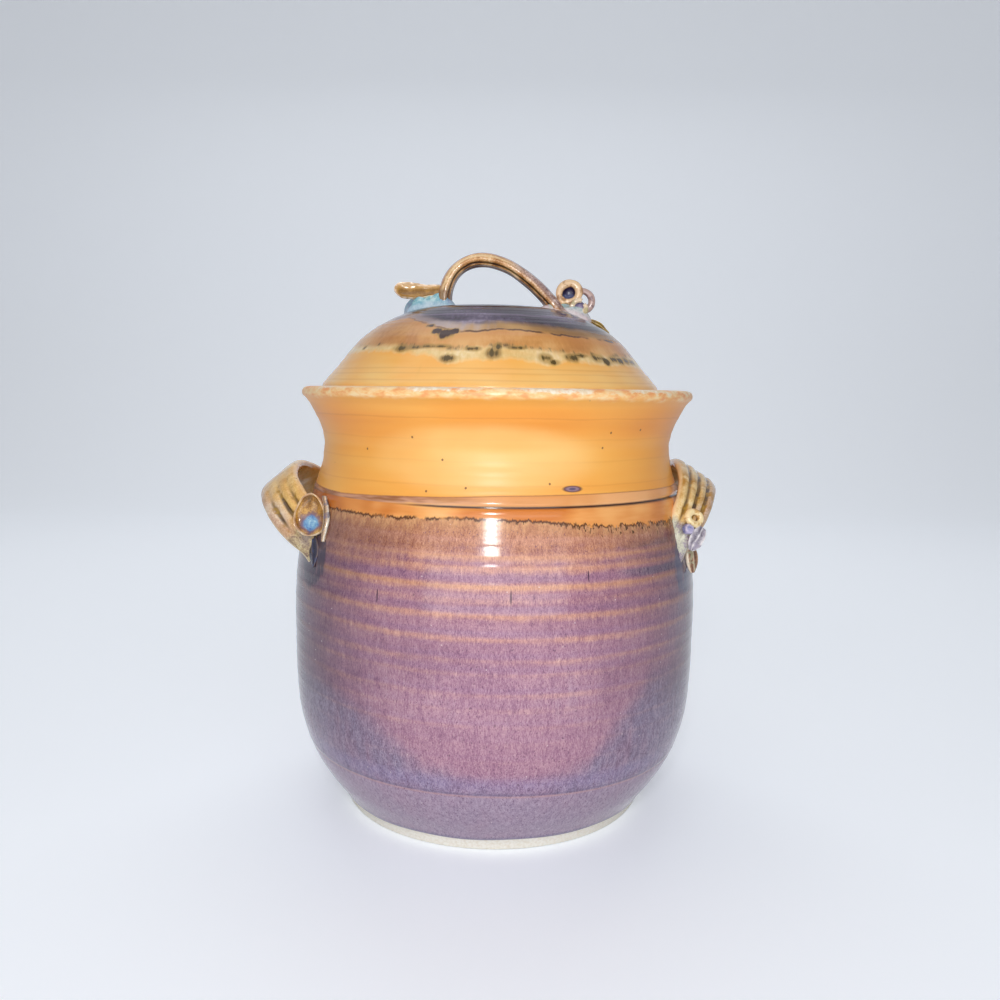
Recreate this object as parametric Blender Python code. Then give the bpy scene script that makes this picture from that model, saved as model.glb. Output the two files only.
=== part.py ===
"""Wheel-thrown stoneware cookie jar with two strap handles and a domed lid.

Metres, +Z up. The origin is on the jar's axis at the plane it stands on, and -Y is the front.
The jar stands on its flat turned base. Its mouth has a gallery, a ledge that the lid sits on,
a little wider than the lid, which rests off the jar's axis against the gallery's left side.
Handles, curls, leaves and pads are the pieces of clay that the potter joined to jar and lid.
"""
from math import copysign, cos, exp, hypot, pi, radians, sin

import bmesh
import bpy
from mathutils import Matrix, Vector

# Fits and resolution
GAP = 0.0003              # left between pieces that touch
PRESS = 0.0006            # how deep a piece is set into what it is pressed on, before it is trimmed
TURNED_STEPS = 48
SPAN_STEPS = 3            # pieces of each span of a turned outline
INNER_STEPS = 2           # the same on the inside of the wall
NOSE_STEPS = 5
CORNER_STEPS = 4
RING_STEPS = 18
TUBE_SIDES = 9
BALL_SEGMENTS = 14
BALL_RINGS = 8
LEAF_STEPS = 9
LEAF_SIDES = 12
PAD_SIDES = 14
RIB_STEPS = 4             # points across each rib of a strap
STRAP_BACK_STEPS = 6

# Jar, thrown wall: each rise is measured from the station below it
FOOT_RADIUS = 0.0850
FOOT_BAND_RISE = 0.005
FOOT_BAND_RADIUS = 0.0873
HIP_RISE = 0.025
HIP_RADIUS = 0.1037
BELLY_RISE = 0.068
BELLY_RADIUS = 0.114
SHOULDER_RISE = 0.057
SHOULDER_RADIUS = 0.1098
LEDGE_RISE = 0.0215
LEDGE_INSET = 0.0058                # from the shoulder
LEDGE_STEP = 0.0009
NECK_RISE = 0.0325
NECK_INSET = 0.0060                 # from the ledge
FLARE_RISE = 0.0228
RIM_RADIUS = 0.110
RIM_NOSE = 0.0030
RIM_NOSE_START = radians(-70)       # from level, where the rim's round edge meets the flare
WALL = 0.0065
FLOOR = 0.0095
FLOOR_CORNER = 0.016

# Jar, gallery inside the rim
GALLERY_DEPTH = 0.0058
RIM_WIDTH = 0.0109        # from the rim's outer edge in to the gallery's wall
GALLERY_THICKNESS = 0.0048
SEAT_OVERLAP = 0.0034     # least width of the gallery under the lid's edge

# Lid: each rise is measured from the station below it, each run from the station outside it
LID_PLAY = 0.0045         # between the lid's edge and the gallery's wall, all round
LID_SEAT_WIDTH = 0.0102
LID_EDGE_RISE = 0.0085
LID_EDGE_RUN = 0.0016
LID_EDGE_ROUND = 0.0018
DOME_LOW_RISE = 0.0060
DOME_LOW_RUN = 0.0052
DOME_MID_RISE = 0.0164
DOME_MID_RUN = 0.0136
DOME_HIGH_RISE = 0.0130
DOME_HIGH_RUN = 0.0196
DOME_TOP_RISE = 0.0080
DOME_TOP_RUN = 0.0270
LID_THICKNESS = 0.0058
LID_HOLLOW = (0.98, 0.9, 0.75, 0.55, 0.3, 0.0)     # shares of the seat's inner radius

# Side handles: pulled straps whose arch leans up and outwards
STRAP_WIDTH = 0.0260                # at the top of the arch
STRAP_THICKNESS = 0.0062
STRAP_RIBS = 4
STRAP_GROOVE = 0.0012
STRAP_SQUARENESS = 6                # power of the oval that its section follows
STRAP_BURY = 0.012                  # of each end, before it is trimmed to the wall
STRAP_STEPS = 20
LEFT_ATTACH_ANGLE = radians(30)     # from the side, towards the front and towards the back
LEFT_ATTACH_DROP = 0.0201           # below the ledge
LEFT_ARCH_RISE = 0.0386             # of the arch's centre line
LEFT_ARCH_TILT = radians(43)        # of the arch, up from level
LEFT_LEAN = radians(50)             # of the strap's face, back towards the jar
LEFT_END_WIDTH = 0.0225
RIGHT_ATTACH_ANGLE = radians(28)
RIGHT_ATTACH_DROP = 0.0195
RIGHT_ARCH_RISE = 0.0350
RIGHT_ARCH_TILT = radians(61.5)
RIGHT_LEAN = radians(57)
RIGHT_END_WIDTH = 0.0140

# Clay joined to the left handle's front end. A place on the wall is an angle from the side
# towards the front and a drop below the ledge; a place on a strap is a turn along its arch
# and an offset towards its lower edge.
SPOON_LENGTH = 0.0215
SPOON_WIDTH = 0.0160
SPOON_DEPTH = 0.0032
SPOON_THICKNESS = 0.0030
SPOON_TURN = radians(11)
SPOON_OFFSET = -0.0080
SPOON_TWIST = radians(-44)
SIDE_COIL_START = (radians(34), 0.0010)
SIDE_COIL_END = (radians(40), 0.0190)
SIDE_COIL_WIDTH = 0.0028
SIDE_COIL_THICKNESS = 0.0030
LEFT_TAIL_START = (radians(30), 0.0215)
LEFT_TAIL_END = (radians(34), 0.0345)
LEFT_TAIL_WIDTH = 0.0078
LEFT_TAIL_THICKNESS = 0.0034

# Clay joined to the right handle's front end
RING_RADIUS = 0.0031
RING_TUBE = 0.0019
RING_TURN = radians(20)
RING_OFFSET = 0.0015
BALL_RADIUS = 0.0031
BALL_BEARING = radians(8)          # round the ring, from the strap's end to its upper edge
LOW_LEAF_START = radians(17)        # along the strap's arch
LOW_LEAF_END = radians(-2)
LOW_LEAF_OFFSET = 0.0078
LOW_LEAF_WIDTH = 0.0065
LOW_LEAF_THICKNESS = 0.0028
RIGHT_TAIL_START = (radians(22), 0.0250)
RIGHT_TAIL_END = (radians(23), 0.0390)
RIGHT_TAIL_WIDTH = 0.0100
RIGHT_TAIL_THICKNESS = 0.0036

# Lid handle: an arch with a steep left leg and a long right leg
ARCH_LEFT = 0.0262                  # left foot, from the lid's axis
ARCH_RIGHT = 0.0387                 # right foot, from the lid's axis
ARCH_CROWN = 0.0053                 # crown, from the lid's axis to the left
ARCH_HEIGHT = 0.0260                # of the crown's centre line above the lid's top
ARCH_WIDTH = 0.0165
ARCH_THICKNESS = 0.0080
ARCH_END_FLARE = 0.0012             # added to the thickness and width at the feet
ARCH_FLARE_REACH = 0.0060           # along the arch, over which it fades
ARCH_BURY = 0.0040
ARCH_FLUTES = 8
ARCH_FLUTE_DEPTH = 0.00045
ARCH_STEPS = 11                     # on each side of the crown
ARCH_SIDES = 24
LEFT_LEG_PULL = (-0.0016, 0.0162)   # across and up, from the foot, of the curve's handles
LEFT_CROWN_PULL = 0.0130
RIGHT_CROWN_PULL = 0.0145
RIGHT_LEG_PULL = (-0.0150, 0.0175)

# Clay joined to the lid handle's feet; a station is a distance from the lid's axis
PAD_WIDTH = 0.0150
LEFT_PAD_LENGTH = 0.0220
LEFT_PAD_HEIGHT = 0.0080
RIGHT_PAD_LENGTH = 0.0165
RIGHT_PAD_HEIGHT = 0.0040
PAD_SQUARENESS = 0.6
PAD_BLUNTNESS = 6
PAD_END = 0.97                      # share of its outline at which a pad is cut off square
LEAF_LENGTH = 0.0256
LEAF_WIDTH = 0.0080
LEAF_THICKNESS = 0.0034
LEAF_LEAN = radians(35)
LEAF_SKEW = 1.8                     # moves the widest place towards the tip
LOOP_RADIUS = 0.0058
LOOP_TUBE = 0.0022
LOOP_STATION = 0.0443
BUD_RADIUS = 0.0038
BUD_TUBE = 0.0015
BUD_STATION = 0.0497
BUD_SINK = 0.0038                   # into the pad
BACK_LOOP_RADIUS = 0.0056
BACK_LOOP_TUBE = 0.0020
BACK_LOOP_STATION = 0.0520
LID_TAIL_START = 0.0545
LID_TAIL_END = 0.0660
LID_TAIL_WIDTH = 0.0062
LID_TAIL_THICKNESS = 0.0032
LID_TAIL_LEAN = radians(25)

# Shapes of leaves and of the spoon
LEAF_ROOT = 0.14          # place along half a sine wave at which a leaf starts and ends
LEAF_TIP = 0.96
LEAF_BLUNTNESS = 0.8
LEAF_THINNEST = 0.35      # share of its thickness at its ends
LEAF_CUP = 0.3            # how far its edges stand up, as a share of its half thickness
SPOON_BOWL = ((0.0, 0.0), (0.5, 0.18), (0.8, 0.7), (0.93, 1.3), (1.0, 1.1), (0.96, 0.5))
SPOON_BACK = ((0.7, -0.7), (0.0, -1.0))

# Heights and radii that follow
LEDGE_RADIUS = SHOULDER_RADIUS - LEDGE_INSET
NECK_RADIUS = LEDGE_RADIUS - NECK_INSET
GALLERY_RADIUS = RIM_RADIUS - RIM_WIDTH
HIP_HEIGHT = FOOT_BAND_RISE + HIP_RISE
BELLY_HEIGHT = HIP_HEIGHT + BELLY_RISE
SHOULDER_HEIGHT = BELLY_HEIGHT + SHOULDER_RISE
LEDGE_HEIGHT = SHOULDER_HEIGHT + LEDGE_RISE
NECK_HEIGHT = LEDGE_HEIGHT + NECK_RISE
RIM_HEIGHT = NECK_HEIGHT + FLARE_RISE
RIM_TOP = RIM_HEIGHT + RIM_NOSE
SEAT_HEIGHT = RIM_TOP - GALLERY_DEPTH
GALLERY_BOTTOM = SEAT_HEIGHT - GALLERY_THICKNESS
LID_RADIUS = GALLERY_RADIUS - LID_PLAY
LID_SHIFT = -(LID_PLAY - GAP)       # the lid rests against the left side of the gallery
MOUTH_RADIUS = LID_RADIUS + LID_SHIFT - SEAT_OVERLAP
GALLERY_WIDTH = GALLERY_RADIUS - MOUTH_RADIUS
LID_BASE = SEAT_HEIGHT + GAP

CLAY_TAN = (0.62, 0.36, 0.14)
GLAZE_PURPLE = (0.23, 0.16, 0.25)
GLAZE_OCHRE = (0.60, 0.33, 0.10)
GLAZE_AMBER = (0.50, 0.29, 0.08)
GLAZE_CREAM = (0.66, 0.52, 0.30)
GLAZE_BLUE = (0.22, 0.36, 0.48)
GLAZE_SLATE = (0.16, 0.16, 0.24)
GLAZE_ROUGHNESS = 0.18


def clear_scene():
    for old in list(bpy.data.objects):
        bpy.data.objects.remove(old, do_unlink=True)


def glaze(name, colour):
    material = bpy.data.materials.new(name)
    material.use_nodes = True
    material.diffuse_color = (*colour, 1.0)
    shader = material.node_tree.nodes["Principled BSDF"]
    shader.inputs["Base Color"].default_value = (*colour, 1.0)
    shader.inputs["Roughness"].default_value = GLAZE_ROUGHNESS
    shader.inputs["Metallic"].default_value = 0.0
    return material


def add_object(name, shape, colour=None, place=None):
    """Turns a bmesh into a named, smooth-shaded object at a place in the world."""
    bmesh.ops.recalc_face_normals(shape, faces=shape.faces)
    mesh = bpy.data.meshes.new(name)
    shape.to_mesh(mesh)
    shape.free()
    mesh.shade_smooth()
    mesh.set_sharp_from_angle(angle=radians(40))
    if colour:
        mesh.materials.append(glaze(name, colour))
    piece = bpy.data.objects.new(name, mesh)
    bpy.context.scene.collection.objects.link(piece)
    if place:
        piece.matrix_world = place
    return piece


def hidden(cutter):
    cutter.hide_render = True
    cutter.display_type = "WIRE"
    return cutter


def grown(piece):
    """A cutter with the piece's own untrimmed shape, larger by the gap all round."""
    cutter = piece.copy()
    cutter.name = "cutter_" + piece.name
    cutter.modifiers.clear()
    bpy.context.scene.collection.objects.link(cutter)
    grow = cutter.modifiers.new("gap", "DISPLACE")
    grow.mid_level = 0.0
    grow.strength = GAP
    return hidden(cutter)


def trim(piece, *cutters):
    for cutter in cutters:
        cut = piece.modifiers.new("trim to " + cutter.name, "BOOLEAN")
        cut.operation = "DIFFERENCE"
        cut.solver = "EXACT"
        cut.object = cutter


def smooth_function(stations):
    """A smooth curve through (x, y) stations in rising x, with three-point slopes."""
    xs = [x for x, y in stations]
    ys = [y for x, y in stations]
    steps = [b - a for a, b in zip(xs, xs[1:])]
    rises = [(b - a) / step for a, b, step in zip(ys, ys[1:], steps)]
    slopes = [rises[0]]
    for i in range(1, len(xs) - 1):
        weighted = steps[i] * rises[i - 1] + steps[i - 1] * rises[i]
        slopes.append(weighted / (steps[i - 1] + steps[i]))
    slopes.append(rises[-1])

    def value(x):
        i = 0
        while i < len(steps) - 1 and x > xs[i + 1]:
            i += 1
        t = (x - xs[i]) / steps[i]
        start = (1 + 2 * t) * (1 - t) ** 2 * ys[i] + t * (1 - t) ** 2 * steps[i] * slopes[i]
        end = t * t * (3 - 2 * t) * ys[i + 1] + t * t * (t - 1) * steps[i] * slopes[i + 1]
        return start + end

    return value


def squared(value, power):
    """Bends a sine or cosine towards a square wave, for a power below 1."""
    return copysign(abs(value) ** power, value)


def spread(start, end, count):
    """Values from start to end, both included."""
    return [start + (end - start) * i / count for i in range(count + 1)]


def round_turn(sides):
    return spread(0.0, 2 * pi, sides)[:-1]


def arc(centre, radius, start, end, count):
    x, y = centre
    return [(x + radius * cos(a), y + radius * sin(a)) for a in spread(start, end, count)]


def bezier(corners, count):
    a, b, c, d = corners
    return [
        a * (1 - t) ** 3 + b * 3 * t * (1 - t) ** 2 + c * 3 * t * t * (1 - t) + d * t ** 3
        for t in spread(0.0, 1.0, count)
    ]


def turned(outline, steps=TURNED_STEPS):
    """Spins an outline of (radius, height) points, whose ends lie on the axis, round Z."""
    shape = bmesh.new()
    corners = [shape.verts.new((radius, 0.0, height)) for radius, height in outline]
    edges = [shape.edges.new(pair) for pair in zip(corners, corners[1:])]
    bmesh.ops.spin(
        shape, geom=corners + edges, cent=(0, 0, 0), axis=(0, 0, 1),
        angle=2 * pi, steps=steps, use_merge=True,
    )
    bmesh.ops.remove_doubles(shape, verts=shape.verts, dist=0.00001)
    return shape


def lofted(rings, closed=False):
    """Joins rings of points, all with the same count, and caps the two ends."""
    shape = bmesh.new()
    rows = [[shape.verts.new(point) for point in ring] for ring in rings]
    pairs = list(zip(rows, rows[1:]))
    if closed:
        pairs.append((rows[-1], rows[0]))
    for lower, upper in pairs:
        for i, corner in enumerate(lower):
            j = (i + 1) % len(lower)
            shape.faces.new((corner, lower[j], upper[j], upper[i]))
    if not closed:
        for end in (rows[0], rows[-1]):
            middle = shape.verts.new(sum((v.co for v in end), Vector()) / len(end))
            for i, corner in enumerate(end):
                shape.faces.new((middle, corner, end[(i + 1) % len(end)]))
    return shape


def ring_shape(radius, tube):
    """A closed ring of coiled clay round the local Z axis."""
    rings = []
    for turn in round_turn(RING_STEPS):
        level = Vector((cos(turn), sin(turn), 0.0))
        rings.append([
            level * (radius + tube * cos(a)) + Vector((0, 0, tube * sin(a)))
            for a in round_turn(TUBE_SIDES)
        ])
    return lofted(rings, closed=True)


def place_of(centre, across, along, outwards):
    """A place in the world whose local X, Y and Z are the three directions."""
    return Matrix.Translation(centre) @ Matrix((across, along, outwards)).transposed().to_4x4()


# Shapes of the jar and the lid

wall_radius = smooth_function([
    (FOOT_BAND_RISE, FOOT_BAND_RADIUS),
    (HIP_HEIGHT, HIP_RADIUS),
    (BELLY_HEIGHT, BELLY_RADIUS),
    (SHOULDER_HEIGHT, SHOULDER_RADIUS),
    (LEDGE_HEIGHT, LEDGE_RADIUS),
])
neck_radius = smooth_function([
    (LEDGE_HEIGHT, LEDGE_RADIUS - LEDGE_STEP),
    (NECK_HEIGHT, NECK_RADIUS),
    (RIM_HEIGHT - RIM_NOSE, RIM_RADIUS - RIM_NOSE),
])


def dome_stations():
    """The lid's upper side as (radius, height), from the axis out to its edge."""
    radius = LID_RADIUS - LID_EDGE_RUN
    height = LID_BASE + LID_EDGE_RISE
    stations = [(radius, height)]
    for run, rise in (
        (DOME_LOW_RUN, DOME_LOW_RISE),
        (DOME_MID_RUN, DOME_MID_RISE),
        (DOME_HIGH_RUN, DOME_HIGH_RISE),
        (DOME_TOP_RUN, DOME_TOP_RISE),
    ):
        radius -= run
        height += rise
        stations.append((radius, height))
    stations.append((0.0, height))
    return stations[::-1]


DOME = dome_stations()
LID_TOP = DOME[0][1]
dome_height = smooth_function(DOME)


def wall_frame(side, angle, height):
    """On the jar's outside: the point, and the directions across, up along it and outwards."""
    level = Vector((side * cos(angle), -sin(angle), 0.0))
    across = Vector((0, 0, 1)).cross(level)
    reach = LEDGE_STEP
    slope = (wall_radius(height + reach) - wall_radius(height - reach)) / (2 * reach)
    up = (level * slope + Vector((0, 0, 1))).normalized()
    return level * wall_radius(height) + Vector((0, 0, height)), across, up, across.cross(up)


def dome_frame(x, y=0.0):
    """On the lid's top: the point, and the directions across, down along it and outwards."""
    radius = hypot(x, y)
    level = Vector((x / radius, y / radius, 0.0))
    reach = LEDGE_STEP
    slope = (dome_height(radius + reach) - dome_height(radius - reach)) / (2 * reach)
    down = (level + Vector((0, 0, slope))).normalized()
    across = down.cross(Vector((0, 0, 1))).normalized()
    return Vector((x, y, dome_height(radius))), across, down, across.cross(down)


# Jar

def outer_outline():
    """The outside of the jar, from the foot's edge to the top of the rim."""
    points = [(FOOT_RADIUS, 0.0)]
    for low, high in (
        (FOOT_BAND_RISE, HIP_HEIGHT),
        (HIP_HEIGHT, BELLY_HEIGHT),
        (BELLY_HEIGHT, SHOULDER_HEIGHT),
        (SHOULDER_HEIGHT, LEDGE_HEIGHT),
    ):
        points += [(wall_radius(z), z) for z in spread(low, high, SPAN_STEPS)[:-1]]
    points.append((LEDGE_RADIUS, LEDGE_HEIGHT))
    nose_start = RIM_HEIGHT - RIM_NOSE
    points += [(neck_radius(z), z) for z in spread(LEDGE_HEIGHT, NECK_HEIGHT, SPAN_STEPS)[:-1]]
    points += [(neck_radius(z), z) for z in spread(NECK_HEIGHT, nose_start, SPAN_STEPS)[:-1]]
    centre = (RIM_RADIUS - RIM_NOSE, RIM_HEIGHT)
    points += arc(centre, RIM_NOSE, RIM_NOSE_START, radians(90), NOSE_STEPS)
    return points


def gallery_outline():
    """From the inner edge of the rim down over the ledge that carries the lid."""
    return [
        (GALLERY_RADIUS + RIM_NOSE / 2, RIM_TOP),
        (GALLERY_RADIUS, RIM_TOP - RIM_NOSE / 2),
        (GALLERY_RADIUS, SEAT_HEIGHT),
        (MOUTH_RADIUS, SEAT_HEIGHT),
        (MOUTH_RADIUS, GALLERY_BOTTOM),
    ]


def inner_outline():
    """The inside of the wall, down to the middle of the floor, with a round corner."""
    corner_top = FLOOR + FLOOR_CORNER
    top = GALLERY_BOTTOM - GALLERY_WIDTH
    points = [(neck_radius(top) - WALL, top)]
    for high, low in (
        (top, LEDGE_HEIGHT),
        (LEDGE_HEIGHT, SHOULDER_HEIGHT),
        (SHOULDER_HEIGHT, BELLY_HEIGHT),
        (BELLY_HEIGHT, corner_top),
    ):
        outside = neck_radius if low >= LEDGE_HEIGHT else wall_radius
        points += [(outside(z) - WALL, z) for z in spread(high, low, INNER_STEPS)[1:]]
    for turn in spread(0.0, pi / 2, CORNER_STEPS)[1:]:
        height = corner_top - FLOOR_CORNER * sin(turn)
        corner = FLOOR_CORNER * (1 - cos(turn))
        points.append((wall_radius(height) - WALL - corner, height))
    points.append((0.0, FLOOR))
    return points


def jar_body():
    outline = [(0.0, 0.0)] + outer_outline() + gallery_outline() + inner_outline()
    return add_object("jar_body", turned(outline), GLAZE_PURPLE)


def jar_cutter():
    """The jar's outside as a solid, larger by the gap."""
    outline = [(0.0, -GAP)] + [(radius + GAP, height) for radius, height in outer_outline()]
    outline.append((0.0, RIM_TOP))
    return hidden(add_object("cutter_jar", turned(outline)))


# Side handles

class Strap:
    """The arch of one side handle, in a plane that holds Y and leans out from the wall."""

    def __init__(self, side, attach_angle, attach_drop, rise, tilt, lean, end_width):
        height = LEDGE_HEIGHT - attach_drop
        radius = wall_radius(height)
        self.side = side
        self.rise = rise
        self.half_span = radius * sin(attach_angle)
        self.middle = Vector((side * radius * cos(attach_angle), 0.0, height))
        self.out = Vector((side * cos(tilt), 0.0, sin(tilt)))
        self.lean = Vector((-side * sin(lean), 0.0, cos(lean)))
        self.end_width = end_width

    def frame(self, turn):
        """Centre, across, along and outwards at a turn of 0 (front end) to pi (back end)."""
        backwards = Vector((0.0, self.half_span, 0.0))
        centre = self.middle + self.out * (self.rise * sin(turn)) - backwards * cos(turn)
        along = (self.out * (self.rise * cos(turn)) + backwards * sin(turn)).normalized()
        outwards = (along.cross(self.lean) * self.side).normalized()
        return centre, outwards.cross(along) * self.side, along, outwards

    def face_place(self, turn, offset, lift):
        """A place above the strap's outward face, offset towards its lower edge."""
        centre, across, along, outwards = self.frame(turn)
        centre = centre - across * offset + outwards * (STRAP_THICKNESS / 2 + lift)
        return place_of(centre, outwards.cross(along), -along, outwards)

    def width(self, turn):
        return self.end_width + (STRAP_WIDTH - self.end_width) * sin(turn)


def rib_groove(share):
    """1 in a groove and 0 on a rib, for a share of -1 to 1 across the strap."""
    if abs(share) > 1 - 1 / STRAP_RIBS:
        return 0.0
    return 0.5 + 0.5 * cos(pi * STRAP_RIBS * (share + 1))


def strap_section(half_width, half_thickness):
    """A flat oval with ribs along its outward face, as (across, outwards) points."""
    points = []
    for share in spread(1.0, -1.0, STRAP_RIBS * RIB_STEPS):
        height = half_thickness * (1 - share ** STRAP_SQUARENESS) ** 0.5
        points.append((half_width * share, height - STRAP_GROOVE * rib_groove(share)))
    for share in spread(-1.0, 1.0, STRAP_BACK_STEPS)[1:-1]:
        height = half_thickness * (1 - share ** STRAP_SQUARENESS) ** 0.5
        points.append((half_width * share, -height))
    return points


def strap_piece(name, strap, cutter):
    rings = []
    for turn in spread(0.0, pi, STRAP_STEPS):
        centre, across, along, outwards = strap.frame(turn)
        section = strap_section(strap.width(turn) / 2, STRAP_THICKNESS / 2)
        rings.append([centre + across * x + outwards * y for x, y in section])
    bury = strap.out * STRAP_BURY
    rings.insert(0, [point - bury for point in rings[0]])
    rings.append([point - bury for point in rings[-1]])
    piece = add_object(name, lofted(rings), GLAZE_CREAM)
    trim(piece, cutter)
    return piece


# Curls, leaves and pads

def leaf_piece(name, spine, width, thickness, colour, cutters, skew=1.0):
    """A pressed leaf of clay: spine is a list of (centre, across, outwards) down its middle."""
    rings = []
    for i, (centre, across, outwards) in enumerate(spine):
        share = (i / (len(spine) - 1)) ** skew
        fullness = sin(pi * (LEAF_ROOT + (LEAF_TIP - LEAF_ROOT) * share)) ** LEAF_BLUNTNESS
        half_width = width / 2 * fullness
        half_thickness = thickness / 2 * (LEAF_THINNEST + (1 - LEAF_THINNEST) * fullness)
        ring = []
        for a in round_turn(LEAF_SIDES):
            cup = half_thickness * LEAF_CUP * cos(a) ** 2
            ring.append(centre + across * (half_width * cos(a))
                        + outwards * (half_thickness * sin(a) + cup))
        rings.append(ring)
    piece = add_object(name, lofted(rings), colour)
    trim(piece, *cutters)
    return piece


def wall_leaf(name, side, start, end, width, thickness, colour, cutters):
    """A leaf pressed on the jar's wall from one place, an angle and a drop, to another."""
    frames = []
    for share in spread(0.0, 1.0, LEAF_STEPS):
        angle, drop = (a + (b - a) * share for a, b in zip(start, end))
        frames.append(wall_frame(side, angle, LEDGE_HEIGHT - drop))
    along = frames[-1][0] - frames[0][0]
    spine = []
    for centre, across, up, outwards in frames:
        lifted = centre + outwards * (thickness / 2 - PRESS)
        spine.append((lifted, along.cross(outwards).normalized(), outwards))
    return leaf_piece(name, spine, width, thickness, colour, cutters)


def spoon_piece(strap, cutters):
    """An oval dish of clay with a raised rim, on the front of the left handle's end."""
    outline = [(share / 2, SPOON_DEPTH * rise) for share, rise in SPOON_BOWL]
    outline += [(share / 2, SPOON_THICKNESS * rise) for share, rise in SPOON_BACK]
    shape = turned(outline, RING_STEPS)
    bmesh.ops.scale(shape, vec=(SPOON_WIDTH, SPOON_LENGTH, 1.0), verts=shape.verts)
    place = strap.face_place(SPOON_TURN, SPOON_OFFSET, SPOON_THICKNESS - PRESS)
    piece = add_object("left_spoon_curl", shape, GLAZE_AMBER,
                       place @ Matrix.Rotation(SPOON_TWIST, 4, "Z"))
    trim(piece, *cutters)
    return piece


def right_ring_and_ball(strap, cutters):
    """A ring and a ball of clay that touch, on the front of the right handle's end."""
    place = strap.face_place(RING_TURN, RING_OFFSET, RING_TUBE - PRESS)
    ring = add_object("right_ring_curl", ring_shape(RING_RADIUS, RING_TUBE), GLAZE_CREAM, place)
    trim(ring, *cutters)
    touch = RING_TUBE + BALL_RADIUS + GAP
    lift = BALL_RADIUS - RING_TUBE
    reach = RING_RADIUS + (touch ** 2 - lift ** 2) ** 0.5
    centre = place @ Vector((sin(BALL_BEARING) * reach, cos(BALL_BEARING) * reach, lift))
    shape = bmesh.new()
    bmesh.ops.create_uvsphere(shape, u_segments=BALL_SEGMENTS, v_segments=BALL_RINGS,
                              radius=BALL_RADIUS)
    ball = add_object("right_ball", shape, GLAZE_BLUE, Matrix.Translation(centre))
    trim(ball, *cutters)
    return ring, ball


def right_low_leaf(strap, cutters):
    """A leaf of clay along the lower edge of the right handle's front end."""
    spine = []
    for turn in spread(LOW_LEAF_START, LOW_LEAF_END, LEAF_STEPS):
        centre, across, along, outwards = strap.frame(turn)
        lift = STRAP_THICKNESS / 2 + LOW_LEAF_THICKNESS / 2 - PRESS
        lifted = centre - across * LOW_LEAF_OFFSET + outwards * lift
        spine.append((lifted, across, outwards))
    return leaf_piece("right_low_leaf", spine, LOW_LEAF_WIDTH, LOW_LEAF_THICKNESS, GLAZE_SLATE,
                      cutters)


# Lid

def lid_shell():
    """The dome over a flat seat ring, hollow underneath."""
    edge = LID_RADIUS - LID_EDGE_RUN
    seat_inner = LID_RADIUS - LID_SEAT_WIDTH
    outline = []
    for (inner, _), (outer, _) in zip(DOME, DOME[1:]):
        outline += [(r, dome_height(r)) for r in spread(inner, outer, SPAN_STEPS)[:-1]]
    outline.append((edge, dome_height(edge)))
    outline.append((LID_RADIUS, LID_BASE + LID_EDGE_RISE - LID_EDGE_ROUND))
    outline.append((LID_RADIUS, LID_BASE))
    outline.append((seat_inner, LID_BASE))
    for share in LID_HOLLOW:
        radius = seat_inner * share
        outline.append((radius, dome_height(radius) - LID_THICKNESS))
    return add_object("lid", turned(outline), GLAZE_OCHRE)


def lid_cutter():
    """The lid's upper side as a solid, larger by the gap."""
    outline = []
    for (inner, _), (outer, _) in zip(DOME, DOME[1:]):
        outline += [(r, dome_height(r) + GAP) for r in spread(inner, outer, SPAN_STEPS)[:-1]]
    outline.append((LID_RADIUS, LID_BASE + LID_EDGE_RISE + GAP))
    outline.append((LID_RADIUS, LID_BASE))
    outline.append((0.0, LID_BASE))
    return hidden(add_object("cutter_lid", turned(outline)))


def arch_line():
    """The lid handle's centre line from its left foot over the crown to its right foot."""
    crown = Vector((-ARCH_CROWN, 0.0, LID_TOP + ARCH_HEIGHT))
    left = Vector((-ARCH_LEFT, 0.0, dome_height(ARCH_LEFT)))
    right = Vector((ARCH_RIGHT, 0.0, dome_height(ARCH_RIGHT)))
    level = Vector((1.0, 0.0, 0.0))
    left_handle = left + Vector((LEFT_LEG_PULL[0], 0.0, LEFT_LEG_PULL[1]))
    right_handle = right + Vector((RIGHT_LEG_PULL[0], 0.0, RIGHT_LEG_PULL[1]))
    up = bezier((left, left_handle, crown - level * LEFT_CROWN_PULL, crown), ARCH_STEPS)
    down = bezier((crown, crown + level * RIGHT_CROWN_PULL, right_handle, right), ARCH_STEPS)
    return up + down[1:]


def arch_section(half_width, half_thickness):
    """An oval with shallow flutes all round, as (across, outwards) points."""
    points = []
    for a in round_turn(ARCH_SIDES):
        flute = ARCH_FLUTE_DEPTH * (0.5 - 0.5 * cos(ARCH_FLUTES * a))
        points.append(((half_width - flute) * cos(a), (half_thickness - flute) * sin(a)))
    return points


def lid_handle(cutter):
    line = arch_line()
    rings = []
    across = Vector((0.0, 1.0, 0.0))
    for i, centre in enumerate(line):
        along = (line[min(i + 1, len(line) - 1)] - line[max(i - 1, 0)]).normalized()
        outwards = along.cross(across)
        foot_distance = min((centre - line[0]).length, (centre - line[-1]).length)
        flare = ARCH_END_FLARE * exp(-foot_distance / ARCH_FLARE_REACH)
        section = arch_section((ARCH_WIDTH + flare) / 2, (ARCH_THICKNESS + flare) / 2)
        rings.append([centre + across * x + outwards * y for x, y in section])
        if i == 0:
            rings.insert(0, [point - along * ARCH_BURY for point in rings[0]])
    rings.append([point + along * ARCH_BURY for point in rings[-1]])
    piece = add_object("lid_handle", lofted(rings), CLAY_TAN)
    trim(piece, cutter)
    return piece


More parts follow.
